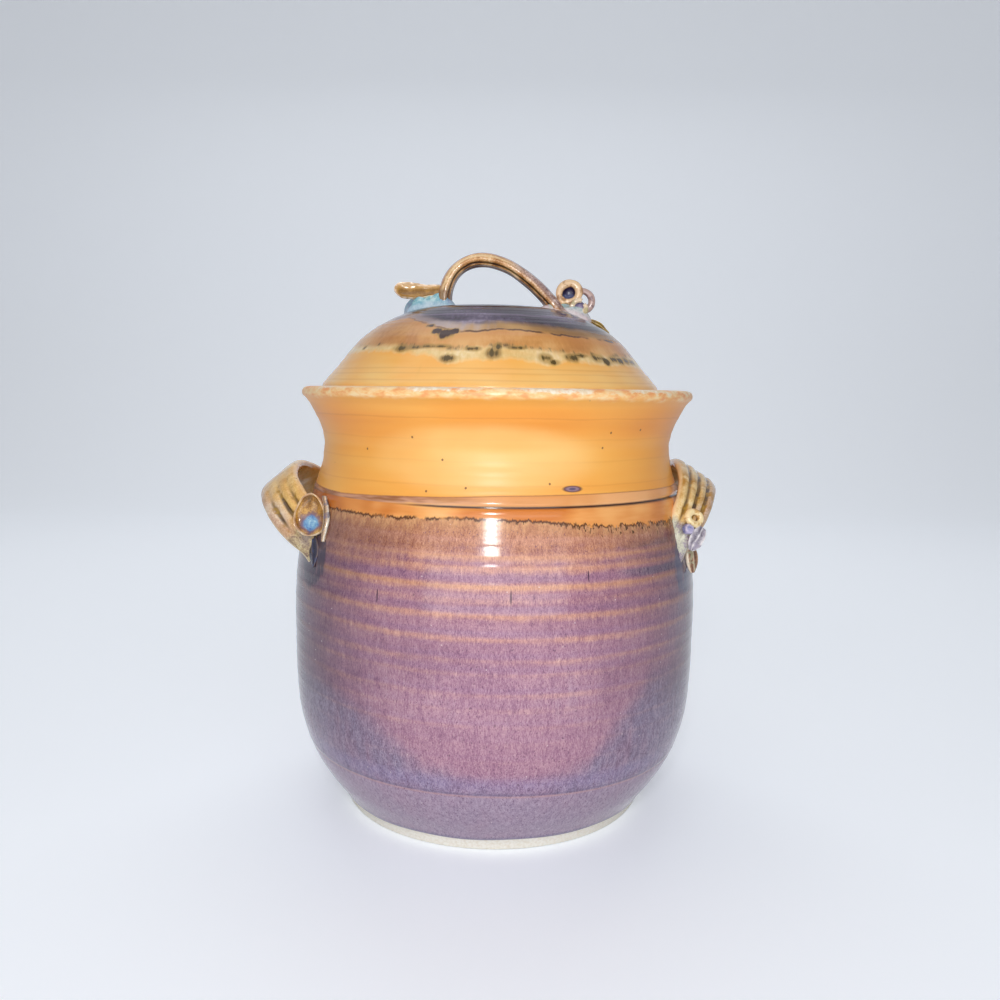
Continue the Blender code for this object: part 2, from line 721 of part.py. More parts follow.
def pad_piece(name, side, foot, length, height, cutters):
    """A block of clay with a blunt end, from a foot of the lid handle outwards over the dome."""
    rings = []
    for share in spread(0.0, PAD_END, LEAF_STEPS):
        centre, across, down, outwards = dome_frame(side * (foot + length * share))
        fullness = (1 - share ** PAD_BLUNTNESS) ** 0.5
        rings.append([
            centre + across * (PAD_WIDTH / 2 * fullness * squared(cos(a), PAD_SQUARENESS))
            + outwards * (height * fullness * squared(sin(a), PAD_SQUARENESS))
            for a in round_turn(PAD_SIDES)
        ])
    piece = add_object(name, lofted(rings), GLAZE_BLUE)
    trim(piece, *cutters)
    return piece


def lid_left_leaf(cutters):
    """A leaf that points away from the handle's left foot and rests on the left pad."""
    start = ARCH_LEFT + ARCH_THICKNESS / 2 - PRESS
    pad_top = dome_height(start + LEAF_LENGTH / 2) + LEFT_PAD_HEIGHT
    height = pad_top + LEAF_WIDTH / 2 * cos(LEAF_LEAN) - PRESS
    wide = Vector((0.0, sin(LEAF_LEAN), cos(LEAF_LEAN)))
    face = Vector((0.0, -cos(LEAF_LEAN), sin(LEAF_LEAN)))
    spine = [
        (Vector((-start - LEAF_LENGTH * share, 0.0, height)), wide, face)
        for share in spread(0.0, 1.0, LEAF_STEPS)
    ]
    return leaf_piece("lid_left_leaf", spine, LEAF_WIDTH, LEAF_THICKNESS, GLAZE_AMBER, cutters,
                      LEAF_SKEW)


def standing_ring(name, radius, tube, station, y, sink, colour, cutters):
    """A ring of clay that stands on the lid's right pad, seen face on from the front."""
    foot, across, down, outwards = dome_frame(station, y)
    centre = foot + Vector((0, 0, RIGHT_PAD_HEIGHT + radius + tube - sink))
    place = place_of(centre, Vector((1, 0, 0)), Vector((0, 0, 1)), Vector((0, -1, 0)))
    ring = add_object(name, ring_shape(radius, tube), colour, place)
    trim(ring, *cutters)
    return ring


def lid_right_leaf(cutters):
    """A leaf on edge that runs down the dome from the right curls."""
    spine = []
    for station in spread(LID_TAIL_START, LID_TAIL_END, LEAF_STEPS):
        centre, front, down, outwards = dome_frame(station)
        wide = outwards * cos(LID_TAIL_LEAN) - front * sin(LID_TAIL_LEAN)
        face = front * cos(LID_TAIL_LEAN) + outwards * sin(LID_TAIL_LEAN)
        lift = LID_TAIL_WIDTH / 2 * cos(LID_TAIL_LEAN) - PRESS
        spine.append((centre + outwards * lift, wide, face))
    return leaf_piece("lid_right_leaf", spine, LID_TAIL_WIDTH, LID_TAIL_THICKNESS, GLAZE_CREAM,
                      cutters)


def lid_pieces():
    lid_shell()
    skin = lid_cutter()
    handle = lid_handle(skin)
    on_lid = [skin, grown(handle)]
    left_pad = pad_piece("lid_left_pad", -1, ARCH_LEFT, LEFT_PAD_LENGTH, LEFT_PAD_HEIGHT, on_lid)
    lid_left_leaf(on_lid + [grown(left_pad)])
    right_pad = pad_piece("lid_right_pad", 1, ARCH_RIGHT,
                          RIGHT_PAD_LENGTH, RIGHT_PAD_HEIGHT, on_lid)
    on_pad = on_lid + [grown(right_pad)]
    loop = standing_ring("lid_loop_curl", LOOP_RADIUS, LOOP_TUBE, LOOP_STATION, 0.0, PRESS,
                         GLAZE_CREAM, on_pad)
    bud_y = -(LOOP_TUBE + BUD_TUBE + GAP)
    bud = standing_ring("lid_bud_curl", BUD_RADIUS, BUD_TUBE, BUD_STATION, bud_y, BUD_SINK,
                        GLAZE_BLUE, on_pad)
    back_y = LOOP_TUBE + BACK_LOOP_TUBE + GAP
    back = standing_ring("lid_back_curl", BACK_LOOP_RADIUS, BACK_LOOP_TUBE,
                         BACK_LOOP_STATION, back_y, PRESS, GLAZE_SLATE, on_pad)
    lid_right_leaf(on_pad + [grown(loop), grown(bud), grown(back)])


def jar_pieces():
    jar_body()
    skin = jar_cutter()
    left = Strap(-1, LEFT_ATTACH_ANGLE, LEFT_ATTACH_DROP, LEFT_ARCH_RISE, LEFT_ARCH_TILT,
                 LEFT_LEAN, LEFT_END_WIDTH)
    right = Strap(1, RIGHT_ATTACH_ANGLE, RIGHT_ATTACH_DROP, RIGHT_ARCH_RISE, RIGHT_ARCH_TILT,
                  RIGHT_LEAN, RIGHT_END_WIDTH)
    left_cutters = [skin, grown(strap_piece("left_handle", left, skin))]
    right_cutters = [skin, grown(strap_piece("right_handle", right, skin))]
    left_cutters.append(grown(spoon_piece(left, left_cutters)))
    wall_leaf("left_side_coil", -1, SIDE_COIL_START, SIDE_COIL_END, SIDE_COIL_WIDTH,
              SIDE_COIL_THICKNESS, GLAZE_CREAM, left_cutters)
    wall_leaf("left_tail", -1, LEFT_TAIL_START, LEFT_TAIL_END, LEFT_TAIL_WIDTH,
              LEFT_TAIL_THICKNESS, GLAZE_SLATE, left_cutters)
    ring, ball = right_ring_and_ball(right, right_cutters)
    right_cutters += [grown(ring), grown(ball)]
    right_cutters.append(grown(right_low_leaf(right, right_cutters)))
    wall_leaf("right_tail", 1, RIGHT_TAIL_START, RIGHT_TAIL_END, RIGHT_TAIL_WIDTH,
              RIGHT_TAIL_THICKNESS, GLAZE_CREAM, right_cutters)


def carry(pieces):
    """Hangs the lid's pieces and their cutters on an empty at the lid's own axis."""
    axis = bpy.data.objects.new("lid_lift", None)
    axis.location = (LID_SHIFT, 0.0, SEAT_HEIGHT)
    bpy.context.scene.collection.objects.link(axis)
    for piece in pieces:
        piece.parent = axis
        piece.matrix_parent_inverse = Matrix.Translation((0.0, 0.0, -SEAT_HEIGHT))


clear_scene()
jar_pieces()
jar_objects = list(bpy.data.objects)
lid_pieces()
carry([piece for piece in bpy.data.objects if piece not in jar_objects])
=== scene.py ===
from math import cos, exp, hypot, pi, radians, sin

import bpy
import numpy as np
from mathutils import Matrix, Vector, noise


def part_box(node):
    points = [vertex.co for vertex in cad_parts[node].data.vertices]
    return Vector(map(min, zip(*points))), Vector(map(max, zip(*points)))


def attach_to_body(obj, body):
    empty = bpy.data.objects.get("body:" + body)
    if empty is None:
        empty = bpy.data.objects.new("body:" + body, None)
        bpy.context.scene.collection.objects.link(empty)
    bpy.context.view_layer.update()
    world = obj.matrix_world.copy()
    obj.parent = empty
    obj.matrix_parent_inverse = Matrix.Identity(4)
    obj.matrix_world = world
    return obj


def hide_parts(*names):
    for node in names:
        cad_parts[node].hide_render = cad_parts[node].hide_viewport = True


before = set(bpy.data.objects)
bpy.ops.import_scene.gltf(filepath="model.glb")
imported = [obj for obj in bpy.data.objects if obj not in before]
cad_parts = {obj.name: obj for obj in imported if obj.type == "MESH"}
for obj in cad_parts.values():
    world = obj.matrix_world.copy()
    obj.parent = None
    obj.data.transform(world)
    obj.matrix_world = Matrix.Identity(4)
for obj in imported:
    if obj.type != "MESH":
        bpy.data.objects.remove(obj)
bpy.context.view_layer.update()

MM = 0.001
PER_METRE = 1000.0               # millimetres
noise.seed_set(1)                # the clay is uneven in the same way in every run

# Camera, where the photograph was taken from
CAMERA_PLACE = (0.0023, -0.532, 0.2330)
CAMERA_PITCH = radians(-6.70)
CAMERA_ROLL = radians(0.80)
CAMERA_LENS = 33.12
CAMERA_SENSOR = 36.0

# Places on the jar and the lid, in metres
LEDGE_HEIGHT = 0.1765
GROOVE_HEIGHT = 0.1789           # dark groove above the shoulder
GROOVE_DEPTH = 0.0007
FOOT_BAND = 0.0068               # bare clay below the glaze
CROWN_DROP = 0.0019              # of the flat middle of the lid
CROWN_FLAT = 0.024               # radius of that middle
CROWN_FADE = 0.022               # over which the drop fades out beyond it
BASE_EDGE = 0.4                  # height in millimetres up to which the outside is base

# Throwing ridges of the wall, which climb it as one spiral: height where the ridge passes the
# front, how far it stands out and how wide it is, in millimetres, from the top turn down
RIDGES = (
    (171.0, 0.00, 1.6), (164.3, 0.26, 2.0), (156.6, 0.42, 1.7), (151.4, 0.36, 1.4),
    (142.9, 0.46, 1.7), (136.2, 0.16, 1.5), (129.4, 0.40, 1.5), (118.2, 0.34, 1.4),
    (107.7, 0.26, 1.3), (101.4, 0.22, 1.2), (91.2, 0.24, 1.2), (84.0, 0.14, 1.2),
    (75.5, 0.20, 1.1), (67.0, 0.12, 1.2), (58.0, 0.12, 1.2), (50.0, 0.10, 1.2),
    (44.0, 0.00, 1.2),
)

# Glaze lines round the jar, as (degrees from the front, height in millimetres)
JAGGED_LINE = (
    (-180, 171.0), (-140, 172.5), (-100, 170.2), (-70, 171.8), (-49, 172.4), (-36, 172.2),
    (-26, 172.2), (-17, 172.8), (-6, 173.5), (1, 172.9), (12, 172.4), (18, 171.2), (29, 169.0),
    (35, 168.7), (47, 167.8), (59, 167.6), (85, 169.0), (120, 172.0), (155, 170.0), (180, 171.0),
)
DRIP_LENGTH = (                  # of the fine dark drips that hang from that line
    (-180, 2.0), (-120, 3.0), (-60, 1.0), (-20, 0.5), (5, 0.7), (18, 1.6), (36, 3.4), (60, 4.6),
    (100, 3.0), (150, 1.0), (180, 2.0),
)
BEAD_LINE = (
    (-180, 183.5), (-90, 182.5), (-49, 180.9), (-27, 182.4), (-12, 183.2), (1, 184.3),
    (18, 184.6), (38, 184.7), (66, 184.2), (120, 184.6), (180, 183.5),
)
FOOT_LINE = ((-180, 37.0), (-90, 38.5), (0, 38.5), (45, 36.5), (90, 35.0), (180, 37.0))
PATCH_LINE = (                   # lower limit of the pinker glaze
    (-180, 78), (-120, 60), (-90, 88), (-50, 92), (-32, 78), (-26, 69), (-23, 64), (-15, 54),
    (2, 47), (18, 49), (25, 56), (28, 65), (32, 74), (45, 96), (80, 90), (110, 62), (150, 70),
    (180, 78),
)
TICKS = ((-29.7, 135.0, 3.5), (4.1, 138.0, 3.5), (23.7, 146.6, 2.8))  # degrees, height, half length
HANDLE_POOLS = (                 # degrees, height and colour of the dark glaze below the handles
    (-58.0, 146.0, "2e2a42"), (63.5, 144.0, "464668"), (-121.0, 146.0, "3c3246"),
    (118.0, 146.0, "463e5c"),
)
EYE_SPOT = (21.5, 187.3, 5.3, 1.6)        # degrees, height, half width, half height
NECK_RINGS = (                   # height, relief and half width, in millimetres
    (227.6, 0.22, 0.8), (219.5, 0.18, 0.9), (213.0, 0.16, 1.8), (208.4, 0.34, 2.2),
    (201.5, 0.12, 1.6), (197.6, 0.32, 2.2), (191.0, 0.14, 1.6), (186.4, 0.24, 1.7),
)
NECK_SPECKS = (
    (-24, 210.9), (-19, 185.5), (-8, 187.6), (15, 189.8), (46, 215.0), (32, 206.5), (34, 213.9),
    (-41, 204.0), (-15, 200.5),
)

# Glaze lines round the lid, as (degrees from the front, millimetres from the lid's axis)
CROWN_LINE = (
    (-180, 66), (-120, 62), (-80, 61), (-45, 59), (-27, 66.8), (-18.5, 69.8), (-12, 71.7),
    (-6, 71.4), (4, 69.6), (17, 70.4), (29, 72.2), (45, 73), (59, 74.3), (100, 70), (140, 68),
    (180, 66),
)
DRIP_TOP = (
    (-180, 80), (-100, 77.5), (-60, 78), (-37, 78.2), (-21, 79.2), (-14, 80.4), (-7, 79.6),
    (0, 78.3), (11, 78.8), (26, 80.3), (44, 81.6), (69, 80.9), (110, 79.5), (150, 81), (180, 80),
)
DRIP_FOOT = (
    (-180, 85), (-140, 83), (-110, 86), (-80, 82), (-53, 80.6), (-35, 81.4), (-20, 82.7),
    (-14, 86.3), (-9, 85), (0, 84.2), (10, 83.9), (17, 85.3), (20, 86), (28, 84.2), (41, 85.3),
    (57, 84.8), (72, 85.9), (100, 83.5), (125, 86.5), (150, 83.8), (180, 85),
)
DARK_DABS = (                    # degrees, distance, half width, half length, in millimetres
    (-21.5, 71.4, 3.0, 2.0), (-17.2, 73.0, 4.2, 2.8), (-14.0, 71.6, 2.8, 1.8), (-26, 67.6, 2.4, 1.4),
    (-33, 79.8, 4.6, 1.5), (-27, 79.4, 4.6, 1.0), (-22, 78.9, 4.8, 0.9), (-17, 78.9, 4.2, 0.8),
    (-13.6, 83.8, 4.6, 1.5), (-5.5, 79.9, 4.4, 1.0), (1.4, 81.6, 4.0, 2.2), (3.0, 79.0, 2.4, 1.6),
    (10, 79.2, 5.2, 0.9), (19.6, 83.2, 3.8, 2.2), (22, 84.6, 3.4, 1.1), (30, 82.6, 4.2, 1.6),
    (34.0, 81.6, 4.6, 0.9), (42, 82.4, 5.0, 1.7), (46, 83.6, 4.2, 1.4), (51, 82.6, 5.0, 1.6),
    (55, 83.0, 4.4, 1.4), (60, 82.8, 4.8, 1.5), (66, 83.2, 4.4, 1.2), (82, 81.5, 3.8, 1.2),
    (101, 80.6, 2.6, 1.2), (118, 83.0, 2.2, 1.4), (139, 81.4, 2.8, 1.1), (162, 82.0, 2.4, 1.3),
    (-170, 81.6, 2.6, 1.2), (-149, 80.8, 2.2, 1.3), (-128, 82.2, 2.6, 1.2), (-104, 79.6, 2.2, 1.1),
    (-77, 79.4, 2.6, 1.2), (-56, 79.0, 2.0, 1.0),
)
LID_RINGS = (                    # distance from the axis, height and half width, in millimetres
    (56.0, 0.20, 1.0), (64.0, 0.12, 1.4), (74.5, 0.10, 1.6), (88.8, 0.26, 0.9), (90.4, 0.22, 0.7),
    (91.7, 0.24, 0.7), (93.6, 0.18, 0.7),
)

# Side handles: arch, tilt and lean as the solids have them
STRAP_THICKNESS = 0.0062
STRAP_WIDTH = 0.0260
STRAP_RIBS = 4
STRAP_BURIED = 0.012             # of each end, inside the wall
RIB_DEPTH = 0.0016               # greatest depth of the grooves between the ribs
LEFT_STRAP = dict(side=-1, attach=radians(30), drop=0.0201, rise=0.0386, tilt=radians(43),
                  lean=radians(50), end_width=0.0225)
RIGHT_STRAP = dict(side=1, attach=radians(28), drop=0.0195, rise=0.0350, tilt=radians(61.5),
                   lean=radians(57), end_width=0.0140)

# Lid handle: feet and crown from the lid's axis, crown above the lid's top
ARCH_LEFT = 0.0262
ARCH_RIGHT = 0.0387
ARCH_CROWN = 0.0053
ARCH_HEIGHT = 0.0260
ARCH_WIDTH = 0.0165
ARCH_THICKNESS = 0.0080
PAD_WIDTH = 0.0165               # of the mounds at its feet

# How the pieces are joined to the wall and the dome
SINK = 2.6 * MM                  # deepest that a piece reaches below the surface it sits on
FLARE = 1.1 * MM                 # of a joint's slip, over that surface
FLARE_REACH = 1.5 * MM

# Radius in millimetres at which marks on the wall and on the neck are measured
WALL_REACH = 113.0
NECK_REACH = 99.0

# Fineness of the meshes and strength of the ridges
JAR_COLUMNS = 288
LID_COLUMNS = 432
FINE_STEP = 0.5 * MM             # between the points of an outline, before some are left out
SHARP = 38                       # degrees, from which a corner of an outline stays one
RIDGE_FULL = 0.40                # size at which a ridge counts as fully bare of glaze
RIDGE_SHARE = 0.55               # of that size that stands out

# Tones in hexadecimal display levels: hollow, face, edge, and what pools in patches
RING_TONES = "3c2816 deb87a f6deaa c48a30"
BALL_TONES = "505482 8084b4 ded0de b0a8ce"
FLAP_TONES = "585064 c4bcc4 f0eaea 92889e"
ROLL_TONES = "543c2c be9c74 fcf2e2 685e78"
SLATE_TONES = "222238 36344a 6c5a58 3c4a70"
CREAM_TONES = "5c3a2a b08264 f8e6ce bab898"
LEAF_TONES = "8c642c d09e54 fce2c4 b6863a"
LOOP_TONES = "764c22 ca9864 ecc89e 9e6a40"
BUD_TONES = "786436 ceaa7c f0d6b6 a89e6c"
BACK_TONES = "503c40 92767a c4a69e 765c64"
TAIL_TONES = "68541e ba9442 f2daa0 7a5c2c"
LOOP_EYE = "1c1a36 2c284a 7080b2 242244"
BUD_EYE = "68608a a094b2 d6c8d4 867ea8"

# Tones of the pools on the lid from their near end to their far end, and of their edges
LEFT_POOL, LEFT_POOL_EDGE = "8496be 68b2c4 cce6e8 78bac8 768cb0", "9ebad2 cedce8"
RIGHT_POOL, RIGHT_POOL_EDGE = "ceb0be b0ccba 92b0b6 dcdede 947c9c", "e2c8ca f0e3e4"

# Tones of the side handles, from darker to paler: left and right, on the ribs and at the ends
STRAP_TONES = {-1: "d8a250 f2c676 fce2a8", 1: "d4ac66 eacc90 f8e6b8"}
END_TONES = {-1: "4a3e46 806c52 b09e74 ccc6a0", 1: "544e70 8e86a0 babeb0 d8dcc8"}

# Tones of the wall under one set of stops: pink, lilac where glaze pools, blue, peach and tan
WALL_STOPS = (0.34, 0.44, 0.53, 0.64, 0.76)
WALL_TONES = (
    "845874 a2748e b88c9e c8a0ac e0c2c8", "68486e 8e688e a880a0 bc98b4 d8c0d2",
    "54445c 786884 9686a0 b0a2b8 cec4d2", "ac7674 c69084 daa694 e8bcaa f6d4c4",
    "8e5840 b47a5a cc926c dca880 f0cca0",
)

# Stage
FLOOR_LIFT = 0.42                # light that the floor seems to have of its own, to the camera
WORLD_SEEN = 0.50                # strength of the pale surroundings where they are seen
WORLD_LIGHT = 0.12               # strength at which they light the object
FLOOR_NEAR, FLOOR_FAR = -1.6, 1.1          # the flat floor's edges, before and behind the jar
SWEEP_RADIUS = 0.5                         # of its bend up into the backdrop
BACKDROP_TOP = 2.4
STAGE_HALF = 3.0                           # half the stage's width


# Shapes: paths, grids and frames

def outline_of(node, axis_x=0.0):
    """The outline of a turned node as (radius, height) points, walked along its mesh's edges."""
    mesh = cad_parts[node].data
    keys = [(round(hypot(v.co.x - axis_x, v.co.y), 5), round(v.co.z, 5)) for v in mesh.vertices]
    beside = {}
    for edge in mesh.edges:
        a, b = (keys[i] for i in edge.vertices)
        if a != b:
            beside.setdefault(a, set()).add(b)
            beside.setdefault(b, set()).add(a)
    point = min((key for key, others in beside.items() if len(others) == 1), key=lambda k: k[1])
    path = [point]
    while True:
        ahead = [other for other in beside[path[-1]] if other not in path]
        if not ahead:
            return np.array(path)
        path.append(min(ahead, key=lambda k: hypot(k[0] - path[-1][0], k[1] - path[-1][1])))


def along_path(points):
    """How far each point of a polyline is from its start."""
    steps = np.hypot(*np.diff(points, axis=0).T)
    return np.concatenate(([0.0], np.cumsum(steps)))


def resampled(points, spacing):
    """Even points along a polyline, bent smoothly except at its sharp corners."""
    heading = np.diff(points, axis=0)
    heading /= np.hypot(*heading.T)[:, None]
    bend = np.degrees(np.arccos(np.clip((heading[1:] * heading[:-1]).sum(1), -1, 1)))
    breaks = [0] + [i + 1 for i, angle in enumerate(bend) if angle > SHARP] + [len(points) - 1]
    made = []
    for first, last in zip(breaks, breaks[1:]):
        run = points[first:last + 1]
        length = along_path(run)
        slopes = np.gradient(run, length, axis=0) if len(run) > 2 else None
        for distance in np.arange(0.0, length[-1] - spacing / 2, spacing):
            i = min(np.searchsorted(length, distance, side="right") - 1, len(run) - 2)
            step = length[i + 1] - length[i]
            t = (distance - length[i]) / step
            if slopes is None:
                made.append(run[i] + (run[i + 1] - run[i]) * t)
                continue
            made.append(run[i] * (1 + 2 * t) * (1 - t) ** 2 + slopes[i] * step * t * (1 - t) ** 2
                        + run[i + 1] * t * t * (3 - 2 * t) + slopes[i + 1] * step * t * t * (t - 1))
    made.append(points[-1])
    return np.array(made)


def softened(points, passes):
    """Rounds the corners of evenly spaced points."""
    points = points.copy()
    for _ in range(passes):
        points[1:-1] = (points[:-2] + 2 * points[1:-1] + points[2:]) / 4
    return points


def picked(points, spacing_at):
    """Keeps points as far apart as spacing_at(index) says."""
    length = along_path(points)
    kept = [0]
    for i in range(1, len(points) - 1):
        if length[i] - length[kept[-1]] >= spacing_at(i):
            kept.append(i)
    return kept + [len(points) - 1]


def round_line(stations, angle):
    """A value given at some degrees round an axis, for angles in radians, smooth and closed."""
    degrees, values = np.array(stations, float).T
    return np.interp(np.degrees(angle), degrees, values)


def grid_piece(name, grid, values=None, wrap_rows=False, wrap_columns=True, caps=True):
    """A mesh over a grid of points, whose open ends are closed by a fan round their middle."""
    rows, columns = grid.shape[:2]
    index = np.arange(rows * columns).reshape(rows, columns)
    down = np.vstack((index, index[:1])) if wrap_rows else index
    across = np.hstack((down, down[:, :1])) if wrap_columns else down
    faces = np.stack((across[:-1, :-1], across[:-1, 1:], across[1:, 1:], across[1:, :-1]), -1)
    faces = faces.reshape(-1, 4).tolist()
    points = grid.reshape(-1, 3)
    ends = [] if wrap_rows or not caps else [(0, 1), (rows - 1, -1)]
    middles = []
    for row, order in ends:
        middle = rows * columns + len(middles)
        middles.append(grid[row].mean(0))
        for a, b in zip(across[row, :-1][::order], across[row, 1:][::order]):
            faces.append([middle, int(b), int(a)] if order == 1 else [middle, int(a), int(b)])
    if middles:
        points = np.vstack((points, middles))
    at_points = {}
    for key, value in (values or {}).items():
        full = np.broadcast_to(value, (rows, columns))
        at_points[key] = np.append(full.reshape(-1), [full[row].mean() for row, _ in ends])
    return mesh_piece(name, points, faces, at_points)


def add_object(name, data):
    """An object for a mesh, a lamp or a camera, in the scene."""
    thing = bpy.data.objects.new(name, data)
    bpy.context.scene.collection.objects.link(thing)
    return thing


def mesh_piece(name, points, faces, values):
    """A smooth mesh with values at its points, whose faces are turned so that they look out."""
    mesh = bpy.data.meshes.new(name)
    mesh.from_pydata(points.tolist(), [], faces)
    for key, value in values.items():
        attribute = mesh.attributes.new(key, "FLOAT", "POINT")
        attribute.data.foreach_set("value", value.astype(np.float32))
    mesh.validate()
    mesh.shade_smooth()
    piece = add_object(name, mesh)
    mesh.calc_loop_triangles()
    corners = np.array([v.co for v in mesh.vertices])
    a, b, c = (corners[[t.vertices[i] for t in mesh.loop_triangles]] for i in range(3))
    if (a * np.cross(b, c)).sum() < 0:
        mesh.flip_normals()
    return piece


def dress(piece, node, body, material):
    """Stands a piece for its CAD node, on its body, in its finish."""
    piece.data.materials.append(material)
    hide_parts(node)
    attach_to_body(piece, body)


def wobble(points, size, scale, seed=0.0):
    """Moves points by smooth noise, as fingers leave soft clay."""
    flat = points.reshape(-1, 3)
    shift = Vector((seed, -seed, 2 * seed))
    moved = [np.array(noise.noise_vector(Vector(p) * scale + shift)) * size for p in flat]
    return (flat + np.array(moved)).reshape(points.shape)


def unit(vector):
    return vector / np.linalg.norm(vector, axis=-1, keepdims=True)


def bell(value, middle, width):
    """1 where the value is at the middle, falling off like a bell on both sides."""
    return np.exp(-((value - middle) / width) ** 2)


def full_turn(count, start=0.0):
    """Even angles once round an axis, in radians."""
    return np.linspace(start, start + 2 * pi, count, endpoint=False)


def placed(centre, x_axis, x, y_axis, y):
    """Points at distances x and y from a centre along two axes."""
    return centre + x_axis * x[:, None] + y_axis * y[:, None]


# Turned walls of the jar and the lid, read from the solids

JAR_OUTLINE = outline_of("jar_body")
RIM_INDEX = int(JAR_OUTLINE[:, 1].argmax())
OUTSIDE = np.array([p for i, p in enumerate(JAR_OUTLINE[:RIM_INDEX])
                    if i == 0 or p[1] - JAR_OUTLINE[i - 1][1] > 1e-4])
LID_AXIS = (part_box("lid")[0].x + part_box("lid")[1].x) / 2
LID_OUTLINE = outline_of("lid", LID_AXIS)


def wall_radius(height):
    return np.interp(height, OUTSIDE[:, 1], OUTSIDE[:, 0])


LID_EDGE = max(i for i, p in enumerate(LID_OUTLINE) if p[0] > LID_OUTLINE[:, 0].max() - 1e-5)


def crown_drop(radius):
    """How much the flat middle of the dome lies below the solid's, fading out by its handle."""
    fade = np.clip((radius - CROWN_FLAT) / CROWN_FADE, 0, 1)
    return CROWN_DROP * (0.5 + 0.5 * np.cos(pi * fade))


DOME = LID_OUTLINE[LID_EDGE:][::-1].copy()
DOME[:, 1] -= crown_drop(DOME[:, 0])


def dome_height(radius):
    return np.interp(radius, DOME[:, 0], DOME[:, 1])


# Materials: node trees written as arithmetic

def srgb(tone):
    """A tone such as "d8a250", in display levels, as the linear numbers that a shader takes."""
    shares = [int(tone[i:i + 2], 16) / 255 for i in (0, 2, 4)]
    return (*[s / 12.92 if s <= 0.04045 else ((s + 0.055) / 1.055) ** 2.4 for s in shares], 1.0)


class Value:
    """A number that varies over a surface. Arithmetic with it adds Math nodes."""

    def __init__(self, glaze, socket):
        self.glaze, self.socket = glaze, socket

    def math(self, operation, *others):
        node = self.glaze.node("ShaderNodeMath", operation=operation)
        for slot, other in zip(node.inputs, (self, *others)):
            self.glaze.feed(slot, other)
        return Value(self.glaze, node.outputs[0])

    def __add__(self, other):
        return self.math("ADD", other)

    def __mul__(self, other):
        return self.math("MULTIPLY", other)

    def __sub__(self, other):
        return self.math("SUBTRACT", other)

    def __rsub__(self, other):
        return self.math("MULTIPLY_ADD", -1.0, other)

    def __neg__(self):
        return self.math("MULTIPLY", -1.0)

    def __truediv__(self, other):
        return self.math("DIVIDE", other)

    def __abs__(self):
        return self.math("ABSOLUTE")

    def sway(self, size):
        """Noise about 0 instead of about 0.5, times a size."""
        return (self - 0.5) * size

    def rise(self, low, high, start=0.0, end=1.0):
        """From start where the value is at most low, smoothly to end where it is at least high."""
        node = self.glaze.node("ShaderNodeMapRange", interpolation_type="SMOOTHSTEP")
        for slot, other in zip(node.inputs, (self, low, high, start, end)):
            self.glaze.feed(slot, other)
        return Value(self.glaze, node.outputs[0])

    def fall(self, low, high):
        """From 1 where the value is at most low, smoothly to 0 where it is at least high."""
        return self.rise(low, high, 1.0, 0.0)

    def line(self, width):
        """1 where the value is 0, down to 0 where it is width away either side."""
        return abs(self).fall(0.0, width)

    def either(self, other):
        return self.math("MAXIMUM", other)


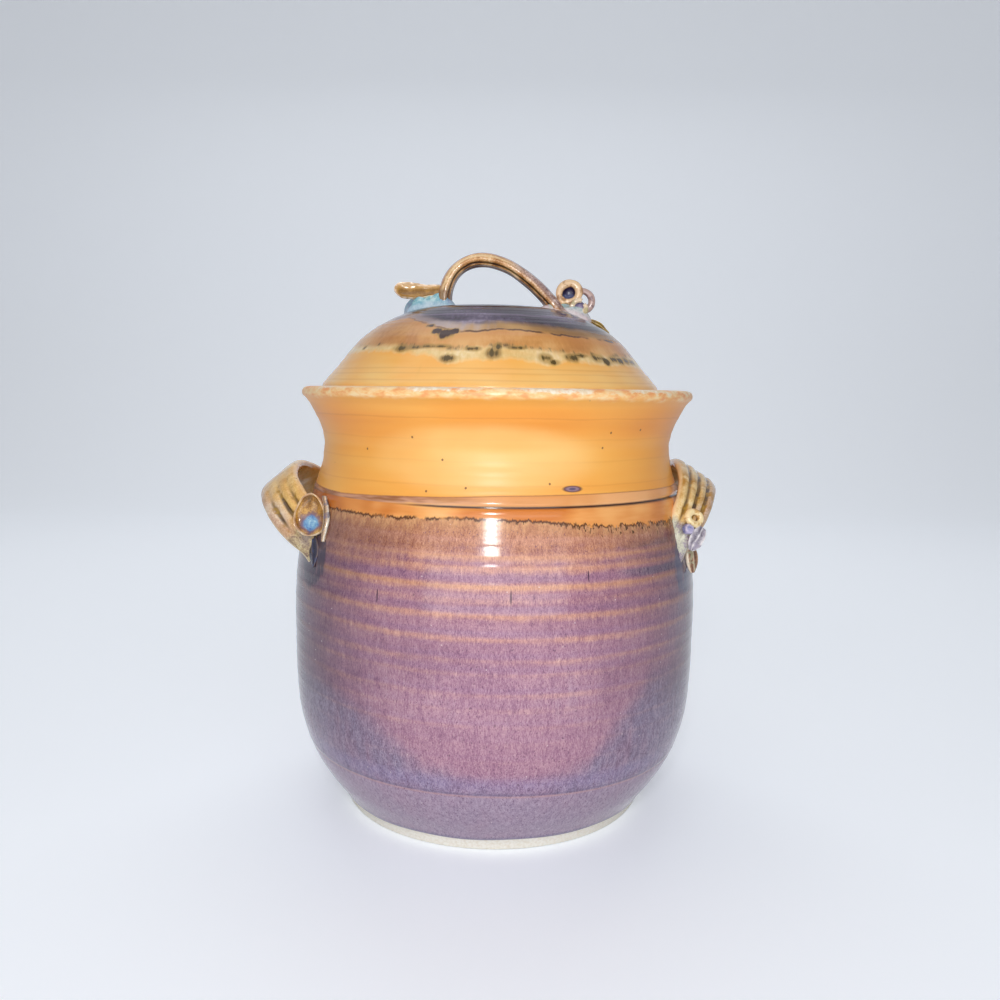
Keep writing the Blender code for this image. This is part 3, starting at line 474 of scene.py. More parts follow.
class Glaze:
    """One material. Lengths are in millimetres and angles in degrees from the front."""

    def __init__(self, name, axis_x=0.0):
        self.material = bpy.data.materials.new(name)
        self.material.use_nodes = True
        self.tree = self.material.node_tree
        self.shader = self.tree.nodes["Principled BSDF"]
        self.place = self.node("ShaderNodeTexCoord").outputs["Object"]
        split = self.node("ShaderNodeSeparateXYZ")
        self.feed(split.inputs[0], self.place)
        self.x, self.y, self.z = (Value(self, out) * PER_METRE for out in split.outputs)
        self.x = self.x - axis_x * PER_METRE

    def node(self, kind, **settings):
        node = self.tree.nodes.new(kind)
        for key, value in settings.items():
            setattr(node, key, value)
        return node

    def feed(self, slot, source):
        """Joins a value or another socket to a slot, or sets it to a number or a tone."""
        if isinstance(source, Value):
            source = source.socket
        if isinstance(source, bpy.types.NodeSocket):
            self.tree.links.new(source, slot)
        else:
            slot.default_value = srgb(source) if isinstance(source, str) else source

    def attribute(self, name):
        return Value(self, self.node("ShaderNodeAttribute", attribute_name=name).outputs["Fac"])

    def attributes(self, *names):
        return [self.attribute(name) for name in names]

    def angle(self):
        return self.x.math("ARCTAN2", -self.y) * (180 / pi)

    def spot(self, angle, height, at, half_width, half_height, radius):
        """1 inside an oval spot round a place on a turned wall, 0 outside it."""
        across = (angle - at[0]) * (radians(radius) / half_width)
        up = (height - at[1]) * (1 / half_height)
        return (across * across + up * up).fall(0.5, 1.3)

    def mapped(self, place, step, tall, shift):
        """Coordinates for a texture: scaled, stretched upwards and shifted."""
        mapping = self.node("ShaderNodeMapping")
        self.feed(mapping.inputs["Vector"], place)
        mapping.inputs["Scale"].default_value = (step, step, step / tall)
        mapping.inputs["Location"].default_value = (shift, shift * 0.7, shift * 1.3)
        return mapping.outputs[0]

    def noise(self, size, tall=1.0, detail=2.0, rough=0.5, shift=0.0, place=None):
        """Noise about 0.5, with features of a size in millimetres that are stretched upwards."""
        step = PER_METRE / size if place is None else 1.0 / size
        texture = self.node("ShaderNodeTexNoise")
        self.feed(texture.inputs["Vector"], self.mapped(place or self.place, step, tall, shift))
        texture.inputs["Scale"].default_value = 1.0
        texture.inputs["Detail"].default_value = detail
        texture.inputs["Roughness"].default_value = rough
        return Value(self, texture.outputs[0])

    def specks(self, spacing, radius, tall=1.0, shift=0.0, share=1.0):
        """1 in small spots about a spacing apart, of which only a share is there."""
        cells = self.node("ShaderNodeTexVoronoi")
        self.feed(cells.inputs["Vector"], self.mapped(self.place, PER_METRE / spacing, tall, shift))
        cells.inputs["Scale"].default_value = 1.0
        near = Value(self, cells.outputs["Distance"])
        split = self.node("ShaderNodeSeparateXYZ")
        self.feed(split.inputs[0], cells.outputs["Color"])
        chosen = Value(self, split.outputs[0]).math("LESS_THAN", share)
        reach = radius / spacing
        return near.fall(reach * 0.7, reach * 1.2) * chosen

    def ring_place(self, length):
        """Coordinates in millimetres that run round a turned piece and along the given length."""
        flat = self.node("ShaderNodeCombineXYZ")
        far = (self.x * self.x + self.y * self.y).math("SQRT")
        for slot, source in zip(flat.inputs, (self.x / far * 80.0, self.y / far * 80.0, length)):
            self.feed(slot, source)
        return flat.outputs[0]

    def mix(self, share, first, second):
        node = self.node("ShaderNodeMix", data_type="RGBA")
        self.feed(node.inputs["Factor"], share)
        self.feed(node.inputs["A"], first)
        self.feed(node.inputs["B"], second)
        return node.outputs["Result"]

    def coat(self, share, tone):
        """Lays a share of a tone over the glaze's colour."""
        self.colour = self.mix(share, self.colour, tone)

    def shade(self, share, tone):
        """Multiplies the glaze's colour by a share of a tone."""
        self.coat(share, tone)
        self.colour.node.blend_type = "MULTIPLY"

    def ramp(self, value, stops, tones):
        """Runs through tones, written one after the other, with one at each stop of a value."""
        node = self.node("ShaderNodeValToRGB")
        self.feed(node.inputs[0], value)
        elements = node.color_ramp.elements
        while len(elements) < len(stops):
            elements.new(0.5)
        for element, stop, tone in zip(elements, stops, tones.split()):
            element.position, element.color = stop, srgb(tone)
        return node.outputs["Color"]

    def finish(self, roughness, height, strength, coat=0.0):
        """Joins the colour, the roughness and a height in millimetres to the shader."""
        self.feed(self.shader.inputs["Base Color"], self.colour)
        self.feed(self.shader.inputs["Roughness"], roughness)
        self.shader.inputs["IOR"].default_value = 1.5
        if coat:
            self.shader.inputs["Coat Weight"].default_value = coat
            self.shader.inputs["Coat Roughness"].default_value = 0.08
        bump = self.node("ShaderNodeBump")
        bump.inputs["Strength"].default_value = strength
        bump.inputs["Distance"].default_value = MM
        self.feed(bump.inputs["Height"], height)
        self.feed(self.shader.inputs["Normal"], bump.outputs[0])
        return self.material


def ochre(glaze, fibre, cloud, warm):
    """The golden glaze of the neck and the lid, from paler to more orange."""
    tone = cloud.sway(0.26) + fibre.sway(0.12) - warm * 0.10 + 0.46
    return glaze.ramp(tone, (0.22, 0.38, 0.52, 0.68), "ea8c30 f6a646 fab95c fcd082")


def jar_glaze():
    g = Glaze("jar_glaze")
    tall, angle = g.z, g.angle()
    jagged, drip, bead, groove, pooled = g.attributes("jagged", "drip", "bead", "groove", "pooled")
    foot, patch, edge, crest, outside = g.attributes("foot", "patch", "glaze", "crest", "outside")
    fibre = g.noise(0.62, 3.0, 3.0, 0.62)
    streak = g.noise(2.2, 3.4, 2.0, 0.55, shift=7.0)
    runs = g.noise(5.5, 6.0, 1.0, shift=3.0)
    cloud = g.noise(36.0, 0.8, 2.0, shift=1.0)
    grain = g.noise(0.40, 1.6, 2.0, 0.6, shift=21.0)
    level = g.noise(26.0, 0.12, 2.0, shift=41.0)
    sideways = abs(angle).rise(30.0, 88.0)

    # Mauve wall: lilac where the glaze pools over a ridge, peach where it runs thin below
    tone = fibre * 0.42 + grain * 0.34 + streak * 0.24 + cloud * 0.12 - 0.06
    pink, lilac, blue, peach, warm = (g.ramp(tone, WALL_STOPS, tones) for tones in WALL_TONES)
    g.colour = g.mix((pooled + streak.sway(0.9)).rise(0.0, 1.2) * 0.7, pink, lilac)
    below = (patch + runs.sway(11.0) + streak.sway(8.0)).fall(-15.0, 11.0)
    high_right = g.spot(angle, tall, (62.0, 153.0), 62.0, 15.0, 112.0) * crest.fall(0.1, 0.6)
    blueness = (below * 0.78).either(high_right * 0.9).either(sideways * 0.6)
    blueness = (blueness + runs.sway(0.6) + cloud.sway(0.8)).rise(0.05, 1.0)
    g.coat(blueness, blue)
    near_top = (tall + runs.sway(9.0) + level.sway(12.0)).rise(147.0, 164.0)
    g.coat(near_top * (sideways * -0.5 + 1.0) * 0.9, warm)
    thin = (crest + fibre.sway(0.5) + streak.sway(0.5) + level.sway(0.9)).rise(0.05, 1.15)
    thin = thin * (sideways * -0.45 + 1.0) * tall.rise(60.0, 125.0, 0.35, 1.0)
    thin = thin * (runs * 0.9 + cloud * 0.5 + 0.25).rise(0.55, 1.05, 0.45, 1.0)
    g.coat(thin * 0.9, peach)
    tan = (crest + streak.sway(0.3)).rise(0.75, 1.15) * tall.rise(105.0, 150.0, 0.0, 0.42)
    g.coat(tan, g.ramp(fibre, (0.35, 0.65), "ce9464 ecbc8a"))
    g.shade(tall.rise(95.0, 150.0) * 0.8, "fff4ea")
    # Darker towards the sides about the handles, less so low down: partly a darker glaze there, partly
    # painted shade where the wall turns away from the lamps
    from_handle = abs(abs(angle - 5.0) - 88.0)
    from_handle = from_handle + cloud.sway(26.0) + runs.sway(12.0)
    side_glaze_and_shade = from_handle.rise(8.0, 82.0, 0.84, 0.0) * tall.rise(40.0, 100.0, 0.05, 1.0)
    g.shade(side_glaze_and_shade, "706676")

    # Near the foot: a peach line, lavender above it and a greyer mauve below
    lavender = ((foot - 7.0) * (1 / 7.5)).line(1.0) * abs(angle).rise(30.0, 75.0, 1.0, 0.25)
    g.coat(lavender * (streak + 0.1) * 0.75, g.ramp(tone, (0.38, 0.62), "7c6c98 b0a2c8"))
    low = foot.fall(-1.2, 0.2)
    hanging = g.noise(1.3, 7.0, 2.0, 0.6, shift=51.0)
    greyer = g.ramp(hanging * 0.6 + grain * 0.4, (0.36, 0.5, 0.64), "967e96 b29ab0 cab6c8")
    g.coat(low * 0.6, greyer)
    g.coat(foot.line(1.0) * 0.55, "d0a6a6")
    g.coat((foot - 1.5).line(0.9) * 0.35, "685a84")
    g.coat(edge.fall(0.2, 3.2) * 0.7, g.ramp(fibre, (0.35, 0.65), "585678 8c86a0"))

    # Small marks: iron flecks, pale pinholes and a few long dark ticks
    flecks = g.noise(0.55, 2.4, 1.0, 0.5, shift=61.0).rise(0.62, 0.72)
    g.coat(flecks * crest.rise(0.2, 0.8, 0.7, 0.15), "684262")
    dark = g.specks(5.4, 0.36, 2.0, 3.0, 0.4) * 0.6
    for degrees, height, half_length in TICKS:
        tick = g.spot(angle, tall, (degrees, height), 0.45, half_length, WALL_REACH)
        dark = dark.either(tick * 0.85)
    g.coat(dark, "462a3e")
    g.coat(g.specks(5.2, 0.30, 1.0, 11.0, 0.5) * 0.75, "eedede")

    # Dark glaze that ran down the wall from the feet of the side handles
    ragged = hanging.sway(2.2) + runs.sway(1.2)
    for degrees, height, tint in HANDLE_POOLS:
        near = g.spot(angle, tall, (degrees, height), 15.0, 17.0, WALL_REACH)
        around = g.spot(angle, tall, (degrees, height), 25.0, 28.0, WALL_REACH)
        g.coat((near + ragged).rise(0.25, 0.95) * around * 0.8, tint)

    # Orange band above the jagged line, whose dark edge drips
    comb = g.noise(0.95, 60.0, 1.0, 0.6, shift=13.0)
    jags = (comb.sway(2.4) + g.noise(2.6, 60.0, 1.0, shift=5.0).sway(2.6)) * (drip * 0.25 + 0.7)
    line_at = jagged + jags
    yellow = (-line_at).fall(0.0, 7.0) * (fibre + 0.25)
    g.coat(yellow * 0.8, g.ramp(streak, (0.4, 0.6), "c48a5c e0ac74"))
    long_drip = (comb.rise(0.50, 0.74) * drip * 1.5 + line_at).rise(-0.1, 0.35)
    drips = long_drip * line_at.fall(-0.3, 0.2)
    orange = g.ramp(cloud * 0.8 + level * 0.2, (0.40, 0.5, 0.60), "d67c2e ec9c52 f8b46c")
    far_left = (angle + cloud.sway(30.0)).rise(-46.0, -22.0, 0.85, 0.0) * angle.rise(-170.0, -120.0)
    orange = g.mix(far_left, orange, g.ramp(cloud, (0.4, 0.6), "b8601a da8434"))
    g.coat(line_at.rise(-0.25, 0.25), orange)
    jagged_dark = (line_at - 0.25).line(1.05) * g.noise(7.0, 1.0, 1.0, shift=2.0).rise(0.26, 0.46)
    g.coat((drips * 0.85).either(jagged_dark * 0.95), "3a1a10")

    # Groove, the moulding over it and the golden neck
    neck = (bead + streak.sway(0.6)).rise(-0.2, 0.25)
    over_groove = (tall - GROOVE_HEIGHT * PER_METRE).rise(-0.1, 0.35)
    left_part = (angle + cloud.sway(40.0)).fall(-22.0, 6.0) * angle.rise(-170.0, -120.0)
    moulding = g.mix(left_part, g.ramp(cloud, (0.4, 0.6), "e69e5c f4b478"),
                     g.ramp(level, (0.40, 0.52, 0.64), "a06842 ce987a e8ac6c"))
    g.coat(over_groove, moulding)
    warmth = (tall - 218.0).line(14.0)
    bands = g.noise(70.0, 0.08, 1.0, shift=4.0)
    gold = ochre(g, bands, g.noise(60.0, 0.5, 1.0, shift=9.0), warmth)
    for line, half_width, share in ((220.6, 0.7, 0.32), (210.4, 0.8, 0.16), (199.8, 0.8, 0.16),
                                    (188.4, 0.7, 0.22)):
        band = (tall - line + level.sway(1.6)).line(half_width)
        gold = g.mix(band * share, gold, "d68034")
    # Paler gold on the neck's front and back: painted highlight, the soft glow of the lamp on the glaze
    paler = g.spot(angle, tall, (-4.0, 201.0), 58.0, 17.0, NECK_REACH).either(
        g.spot(angle, tall, (132.0, 203.0), 32.0, 15.0, NECK_REACH))
    gold = g.mix(paler * (cloud + 0.2) * 0.6, gold, "fed48a")
    specks = g.specks(13.0, 0.34, 1.0, 5.0, 0.55)
    for at in NECK_SPECKS:
        specks = specks.either(g.spot(angle, tall, at, 0.55, 0.6, NECK_REACH))
    gold = g.mix(specks * 0.85, gold, "602e16")
    g.coat(neck, gold)
    # Thin brown line where the neck meets the bead: painted shade in that crease
    g.coat((bead + 0.05).line(0.5) * 0.55, "8c522c")
    # Dark line in the groove above the shoulder: dark glaze pooled in the groove, and painted shade
    # under its step
    groove_pool_and_shade = (tall - (GROOVE_HEIGHT * PER_METRE - 0.05)).line(groove * 0.75 + 0.35)
    groove_pool_and_shade = groove_pool_and_shade * groove.rise(0.3, 0.75)
    g.coat(groove_pool_and_shade, "28100c")
    *eye_at, half_width, half_height = EYE_SPOT
    for size, tint in ((1.0, "5c3a3c"), (0.72, "967a88"), (0.35, "5c506e")):
        g.coat(g.spot(angle, tall, eye_at, half_width * size, half_height * size, 100.0), tint)

    # Rim: orange blush with dry white patches on its edge
    lip = (tall + g.noise(9.0, 0.5, 2.0, shift=6.0).sway(5.0)).rise(228.6, 231.6)
    blotch = g.noise(7.0, 0.4, 3.0, 0.6, shift=30.0)
    blush = g.ramp(blotch, (0.36, 0.50, 0.64), "f4a464 fcca8a fedeac")
    g.coat(lip * outside, blush)
    worn = (tall + blotch.sway(9.0)).rise(232.4, 234.0)
    worn = worn * g.noise(24.0, 0.4, 2.0, shift=17.0).rise(0.42, 0.55)
    g.coat(worn * 0.85, g.ramp(streak, (0.4, 0.6), "f0daba fcf2e2"))

    # Inside: ochre, with bare clay where the lid sits
    inner = outside.fall(0.4, 0.6)
    seat = (tall - 229.0).line(0.8) * inner
    g.coat(inner * tall.fall(228.0, 233.0), gold)
    clay = g.ramp(g.noise(1.4, 1.0, 3.0, shift=8.0), (0.3, 0.6), "eee6d6 faf6ec")
    bare = edge.fall(-0.15, 0.15).either(seat)
    g.coat(bare, clay)
    roughness = fibre.sway(0.08) + worn * 0.24 + neck * 0.22 + 0.15
    roughness = bare.rise(0.0, 1.0, roughness, 0.78)
    height = fibre * 0.04 + streak * 0.05 + bare * g.noise(0.5, 1.0, 2.0) * 0.10
    return g.finish(roughness, height, 0.35)


def lid_glaze():
    g = Glaze("lid_glaze", LID_AXIS)
    angle = g.angle()
    reach, crown, drip_top, drip_foot, dab, outside = g.attributes(
        "reach", "crown", "drip_top", "drip_foot", "dab", "outside")
    round_it = g.ring_place(reach)
    comb = g.noise(1.5, 5.0, 2.0, 0.6, place=round_it)
    runs = g.noise(4.2, 4.0, 2.0, place=round_it, shift=4.0)
    level = g.noise(24.0, 0.12, 2.0, place=round_it, shift=14.0)
    cloud = g.noise(30.0, 1.0, 2.0, shift=2.0)
    grain = g.noise(0.8, 1.0, 3.0, 0.6, shift=9.0)
    crumbs = g.noise(2.0, 1.4, 3.0, 0.65, place=round_it, shift=19.0)

    # Golden skirt, tan above it
    lower = ochre(g, level, cloud, reach.rise(84.0, 94.0, -0.7, -1.5))
    upper = cloud * 0.7 + level * 0.1 + crumbs * 0.2
    upper = g.ramp(upper, (0.38, 0.48, 0.60), "be7e3e d49854 e4b070")
    top_edge = drip_top + comb.sway(1.4) + runs.sway(2.4)
    foot_edge = drip_foot + runs.sway(3.0)
    g.colour = g.mix(top_edge.rise(-1.0, 2.4), upper, lower)

    # Cream drips, with dark olive strokes along their upper edge
    band = top_edge.rise(-1.4, 1.6) * foot_edge.fall(-1.5, 0.5)
    cream = g.ramp(crumbs * 0.4 + cloud * 0.6, (0.36, 0.5, 0.64), "d8ba7a ecd49e f8e8c4")
    g.coat(band * (level * 0.5 + cloud * 0.6 + 0.25), cream)
    # Paler line along the drips' lower edge: painted highlight on the step of the thicker glaze
    g.coat(foot_edge.line(0.9) * band * 0.4, "feecbe")
    gaps = g.noise(10.0, 1.0, 1.0, place=round_it, shift=3.0)
    strokes = (top_edge + 0.2).line(1.5) * gaps.rise(0.43, 0.56)
    strokes = strokes * (runs * 0.6 + crumbs * 0.4).rise(0.42, 0.58)
    strokes = strokes * comb.rise(0.36, 0.56, 0.25, 1.0)
    g.coat(strokes * 0.9, "543c12")
    streaked = reach.rise(75.0, 77.0, 0.4, 1.1)
    stain = dab + runs.sway(1.1) + crumbs.sway(0.3) + (comb - 0.5) * streaked
    around = (dab + runs.sway(0.6)).rise(0.08, 0.55)
    spots = (stain + reach.rise(75.0, 77.0, 0.22, 0.0)).rise(0.45, 1.0) * dab.rise(0.12, 0.40)

    # Crown: dark violet brown with pale clouds, edged with olive and a dark broken line
    crown_at = crown + comb.sway(0.35) + runs.sway(1.8)
    g.coat((crown_at - 2.0).line(5.0) * 0.5, "ce863c")
    rightwards = (angle + runs.sway(24.0)).rise(-22.0, 6.0) * angle.fall(120.0, 170.0)
    olive = g.mix(rightwards, g.ramp(cloud, (0.4, 0.6), "968080 beacaa"),
                  g.ramp(cloud, (0.4, 0.6), "966a32 be904e"))
    g.coat(crown_at.fall(-1.6, 1.2), olive)
    purple = cloud * 0.6 + level * 0.2 + crumbs * 0.2
    purple = g.ramp(purple, (0.38, 0.48, 0.56, 0.66), "281c28 42344a 60526c 9c8ea6")
    g.coat((crown_at + level.sway(3.0)).fall(-7.5, -2.5), purple)
    pale = (reach + runs.sway(8.0)).fall(46.0, 56.0)
    clouds = crumbs * 0.15 + level * 0.2 + g.noise(13.0, 1.0, 2.0, shift=33.0) * 0.65
    g.coat(pale * 0.85, g.ramp(clouds, (0.40, 0.50, 0.58, 0.68), "241820 3a2c3a 68586c d0bec6"))
    lit_edge = (reach - 57.0 + level.sway(4.0)).line(1.6) * crown_at.fall(-4.5, -3.0)
    g.coat(lit_edge * 0.35, "aca0b8")
    broken = g.noise(11.0, 1.0, 2.0, shift=12.0).rise(0.36, 0.48)
    broken = broken * angle.rise(-34.0, -14.0, 0.45, 1.0) * angle.rise(130.0, 175.0, 1.0, 0.45)
    g.coat((crown_at - 0.1).line(0.95) * broken * 0.95, "3a1a0a")
    g.coat(around * 0.8, g.ramp(cloud, (0.4, 0.6), "96702c be964e"))
    high = reach.fall(75.0, 77.0)
    g.coat(spots.rise(0.0, 0.9), g.mix(high, "544008", "361004"))

    # Iron specks, thin rings on the flange, the ochre underside and bare clay under the seat
    g.coat(g.specks(11.0, 0.36, 1.0, 6.0, 0.4) * 0.8, "603616")
    for ring in (87.6, 89.8, 92.6):
        g.coat((reach - ring + level.sway(0.8)).line(0.6) * 0.2, "c47834")
    inner = outside.fall(0.4, 0.6)
    g.coat(inner, ochre(g, g.noise(3.0), cloud, reach * 0.0))
    seat = inner * reach.rise(83.5, 85.0)
    g.coat(seat, "f0e8d6")
    roughness = grain.sway(0.10) + 0.18 + crown_at.rise(-6.0, -3.0, -0.02, 0.02)
    roughness = seat.rise(0.0, 1.0, roughness, 0.75)
    height = crumbs * 0.05 + grain * 0.02 + runs * 0.06
    return g.finish(roughness, height, 0.35, coat=0.15)


def strap_glaze(name, side):
    """Amber cream over the ribs, olive and brown in the grooves, lilac towards the lower edge."""
    g = Glaze(name + "_glaze")
    sunk, across, along, front = g.attributes("sunk", "across", "along", "front")
    grain = g.noise(0.9, 1.0, 3.0, 0.6)
    cloud = g.noise(11.0, 1.0, 2.0, shift=5.0)
    pool = g.noise(6.0, 1.0, 2.0, shift=8.0)
    near_front = along.fall(0.05, 0.42)
    lower = (across * -1.0 + cloud.sway(1.4) + near_front * 0.5).rise(0.1, 1.1)
    gold = g.ramp(cloud * 0.65 + grain * 0.35, (0.36, 0.50, 0.62), STRAP_TONES[side])
    lilac = g.ramp(cloud * 0.5 + grain * 0.5, (0.36, 0.5, 0.64), "aa8076 d0ac9a ecd4be")
    g.colour = g.mix(lower * 0.8, gold, lilac)
    amber = (pool + near_front * 0.05).rise(0.54, 0.64) * sunk.rise(0.02, 0.25, 0.30, 1.0)
    g.coat(amber * 0.8, "b08022")
    if side > 0:
        half_way = abs(along - 0.5) - 0.23 + cloud.sway(0.10)
        ribs = (pool * 0.6 + cloud * 0.4).rise(0.44, 0.54)
        g.coat(half_way.line(0.09) * ribs * 0.9, "ba841e")
    deep = (sunk + grain.sway(0.25) + cloud.sway(0.8)).rise(0.20, 0.85)
    brown = g.ramp(pool + near_front * -0.06, (0.36, 0.5, 0.62), "462c1a 7e5c20 b0882e")
    g.coat(deep * 0.92, brown)
    tints = g.ramp(pool * 0.6 + grain * 0.4, (0.36, 0.46, 0.54, 0.64), END_TONES[side])
    near_end = along.fall(0.03, 0.12).either(along.rise(0.88, 0.97))
    g.coat((near_end + cloud.sway(0.8)).rise(0.25, 0.8) * 0.8, tints)
    edge = abs(across).rise(0.88, 0.985) * front.rise(0.2, 0.8, 0.5, 1.0)
    g.coat(edge * (grain + 0.35), "f6deb2")
    g.coat(front.fall(0.3, 0.7) * 0.5, "a07442")
    g.coat(g.specks(5.0, 0.3, 1.0, 3.0, 0.4) * 0.8, "462818")
    return g.finish(grain.sway(0.12) + 0.16, grain * 0.05 + pool * 0.06, 0.4, coat=0.15)


def spoon_glaze():
    g = Glaze("spoon_glaze")
    pool, ridge = g.attributes("pool", "ridge")
    grain = g.noise(0.8, 1.0, 3.0, 0.6)
    cloud = g.noise(4.5, 1.6, 2.0, shift=3.0)
    tone = cloud * 0.6 + grain * 0.4
    g.colour = g.ramp(tone, (0.36, 0.48, 0.60, 0.72), "684616 9e6c28 cc9c4c e2bc70")
    spread = pool + grain.sway(1.8) + cloud.sway(3.4)
    g.coat(spread.rise(3.8, 7.4, 0.85, 0.0), "6c546e")
    blue = g.ramp(tone, (0.38, 0.48, 0.58, 0.68), "405c96 5c8cbc 80b0cc bed8e0")
    g.coat(spread.fall(3.2, 4.8), blue)
    rim = g.ramp(cloud, (0.38, 0.52, 0.66), "cea47e eacca0 fae8cc")
    g.coat((ridge + grain.sway(0.4)).rise(0.30, 0.85), rim)
    return g.finish(grain.sway(0.1) + 0.13, grain * 0.05, 0.35, coat=0.2)


def arch_glaze():
    """The lid's handle: pinkish tan, a dark groove low on each side and a greyer right leg, with a
    painted highlight along each face and painted shade underneath.
    """
    g = Glaze("arch_glaze")
    ridge, across, along = g.attributes("ridge", "across", "along")
    grain = g.noise(0.8, 1.0, 3.0, 0.6)
    cloud = g.noise(8.0, 1.0, 2.0, shift=6.0)
    tone = cloud * 0.5 + grain * 0.5
    g.colour = g.ramp(tone, (0.38, 0.5, 0.62), "a06634 dea66a fadaac")
    top = across + cloud.sway(0.3)
    pinkish = g.ramp(tone, (0.38, 0.6), "966862 d8ac9c")
    g.coat(top.rise(0.55, 0.95) * 0.8, pinkish)
    # Cream line along each face of the handle: painted highlight
    g.coat((top - 0.35).line(0.26) * 0.7, "fadeb0")
    # Darker underside of the handle, facing the dome: painted shade
    under = top.fall(-0.95, -0.70)
    g.coat(under * 0.85, g.ramp(tone, (0.38, 0.6), "462c2c 7c5442"))
    groove = (1.0 - ridge + grain.sway(0.25)).rise(0.28, 0.72)
    g.coat(groove * 0.95, g.ramp(cloud, (0.4, 0.6), "2e1e14 684a1e"))
    right = (along + cloud.sway(0.2)).rise(0.56, 0.80)
    greyer = g.ramp(tone, (0.38, 0.5, 0.64), "58404e 927278 dec4be")
    g.coat(right * top.rise(-0.3, 0.4) * 0.85, greyer)
    near_foot = (along + grain.sway(0.08)).rise(0.87, 0.93)
    g.coat(near_foot * (cloud + grain.sway(0.6)).rise(0.44, 0.56) * 0.8, "e8d0c8")
    left_foot = (along + grain.sway(0.06)).fall(0.09, 0.15)
    g.coat(left_foot * cloud.rise(0.40, 0.55) * 0.7, "704a32")
    return g.finish(grain.sway(0.12) + 0.13, grain * 0.06 + cloud * 0.05, 0.4, coat=0.2)


def curl_glaze(name, tones, patched=0.53):
    """Pinched clay: hollow, face and edge colours, and a fourth that pools in patches."""
    g = Glaze(name)
    ridge = g.attribute("ridge")
    grain = g.noise(0.7, 1.0, 3.0, 0.6)
    cloud = g.noise(4.0, 1.0, 2.0, shift=len(name))
    body, patch = tones.rsplit(maxsplit=1)
    level = ridge * 0.72 + grain.sway(0.5) + cloud.sway(0.4) + 0.14
    g.colour = g.ramp(level, (0.10, 0.42, 0.74), body)
    patches = (cloud + grain.sway(0.3)).rise(patched, patched + 0.10)
    g.coat(patches * 0.75, patch)
    return g.finish(grain.sway(0.12) + 0.15, grain * 0.06, 0.4, coat=0.2)


def pad_glaze(name, tones, edge_tones):
    """A pool of pale glaze whose tones run into each other along its length."""
    g = Glaze(name)
    ridge, along = g.attributes("ridge", "along")
    grain = g.noise(0.9, 1.0, 3.0, 0.6)
    cloud = g.noise(4.5, 1.0, 3.0, 0.6, shift=len(name))
    place = along * 0.62 + cloud.sway(1.1) + grain.sway(0.4) + 0.18
    count = len(tones.split())
    g.colour = g.ramp(place, [(i + 0.5) / count for i in range(count)], tones)
    edge = (ridge + cloud.sway(0.7)).fall(0.25, 0.75)
    rim = g.ramp(grain, (0.4, 0.6), edge_tones)
    g.coat(edge * 0.75, rim)
    return g.finish(grain.sway(0.1) + 0.12, grain * 0.05 + cloud * 0.08, 0.35, coat=0.25)


# The turned jar and lid

def shell_rows(outline, spacing_at, passes, peak_axis):
    """Softened points of an outline, as far apart as spacing_at says.

    Also tells which of them come before the one that lies farthest along an axis.
    """
    dense = softened(resampled(np.array(outline), FINE_STEP), passes)
    peak = int(dense[:, peak_axis].argmax())
    kept = picked(dense, lambda i: spacing_at(*dense[i], i < peak))
    return dense[kept], np.array([i < peak for i in kept])[:, None]


def spun(radius, height, angle, axis_x=0.0):
    """Points at a radius and height round an axis, with the angle from the front to the right."""
    radius, height = np.broadcast_arrays(radius, height)
    x = radius * np.sin(angle) + axis_x
    return np.stack((x, -radius * np.cos(angle), height), -1)


def throwing_ridges(height, angle):
    """The spiral of ridges: how far it stands out in millimetres, and where glaze thins or pools."""
    tops, sizes, widths = np.array(RIDGES).T
    turn = np.arange(len(RIDGES))
    relief, thin, pooled = (np.zeros(np.broadcast(height, angle).shape) for _ in range(3))
    for start in range(-1, len(RIDGES) + 1):
        phase = start + angle / (2 * pi)
        centre = np.interp(phase, turn, tops)
        size = np.interp(phase, turn, sizes, left=0.0, right=0.0)
        width = np.interp(phase, turn, widths)
        above = height - centre
        relief += RIDGE_SHARE * size * bell(above, 0.0, 1.5 * width)
        spread = np.where(above > 0, 0.85, 1.75) * width
        thin += size / RIDGE_FULL * bell(above, 0.0, spread)
        pooled += size / RIDGE_FULL * bell(above, 2.1 * width, 1.3 * width)
    return relief, thin, pooled


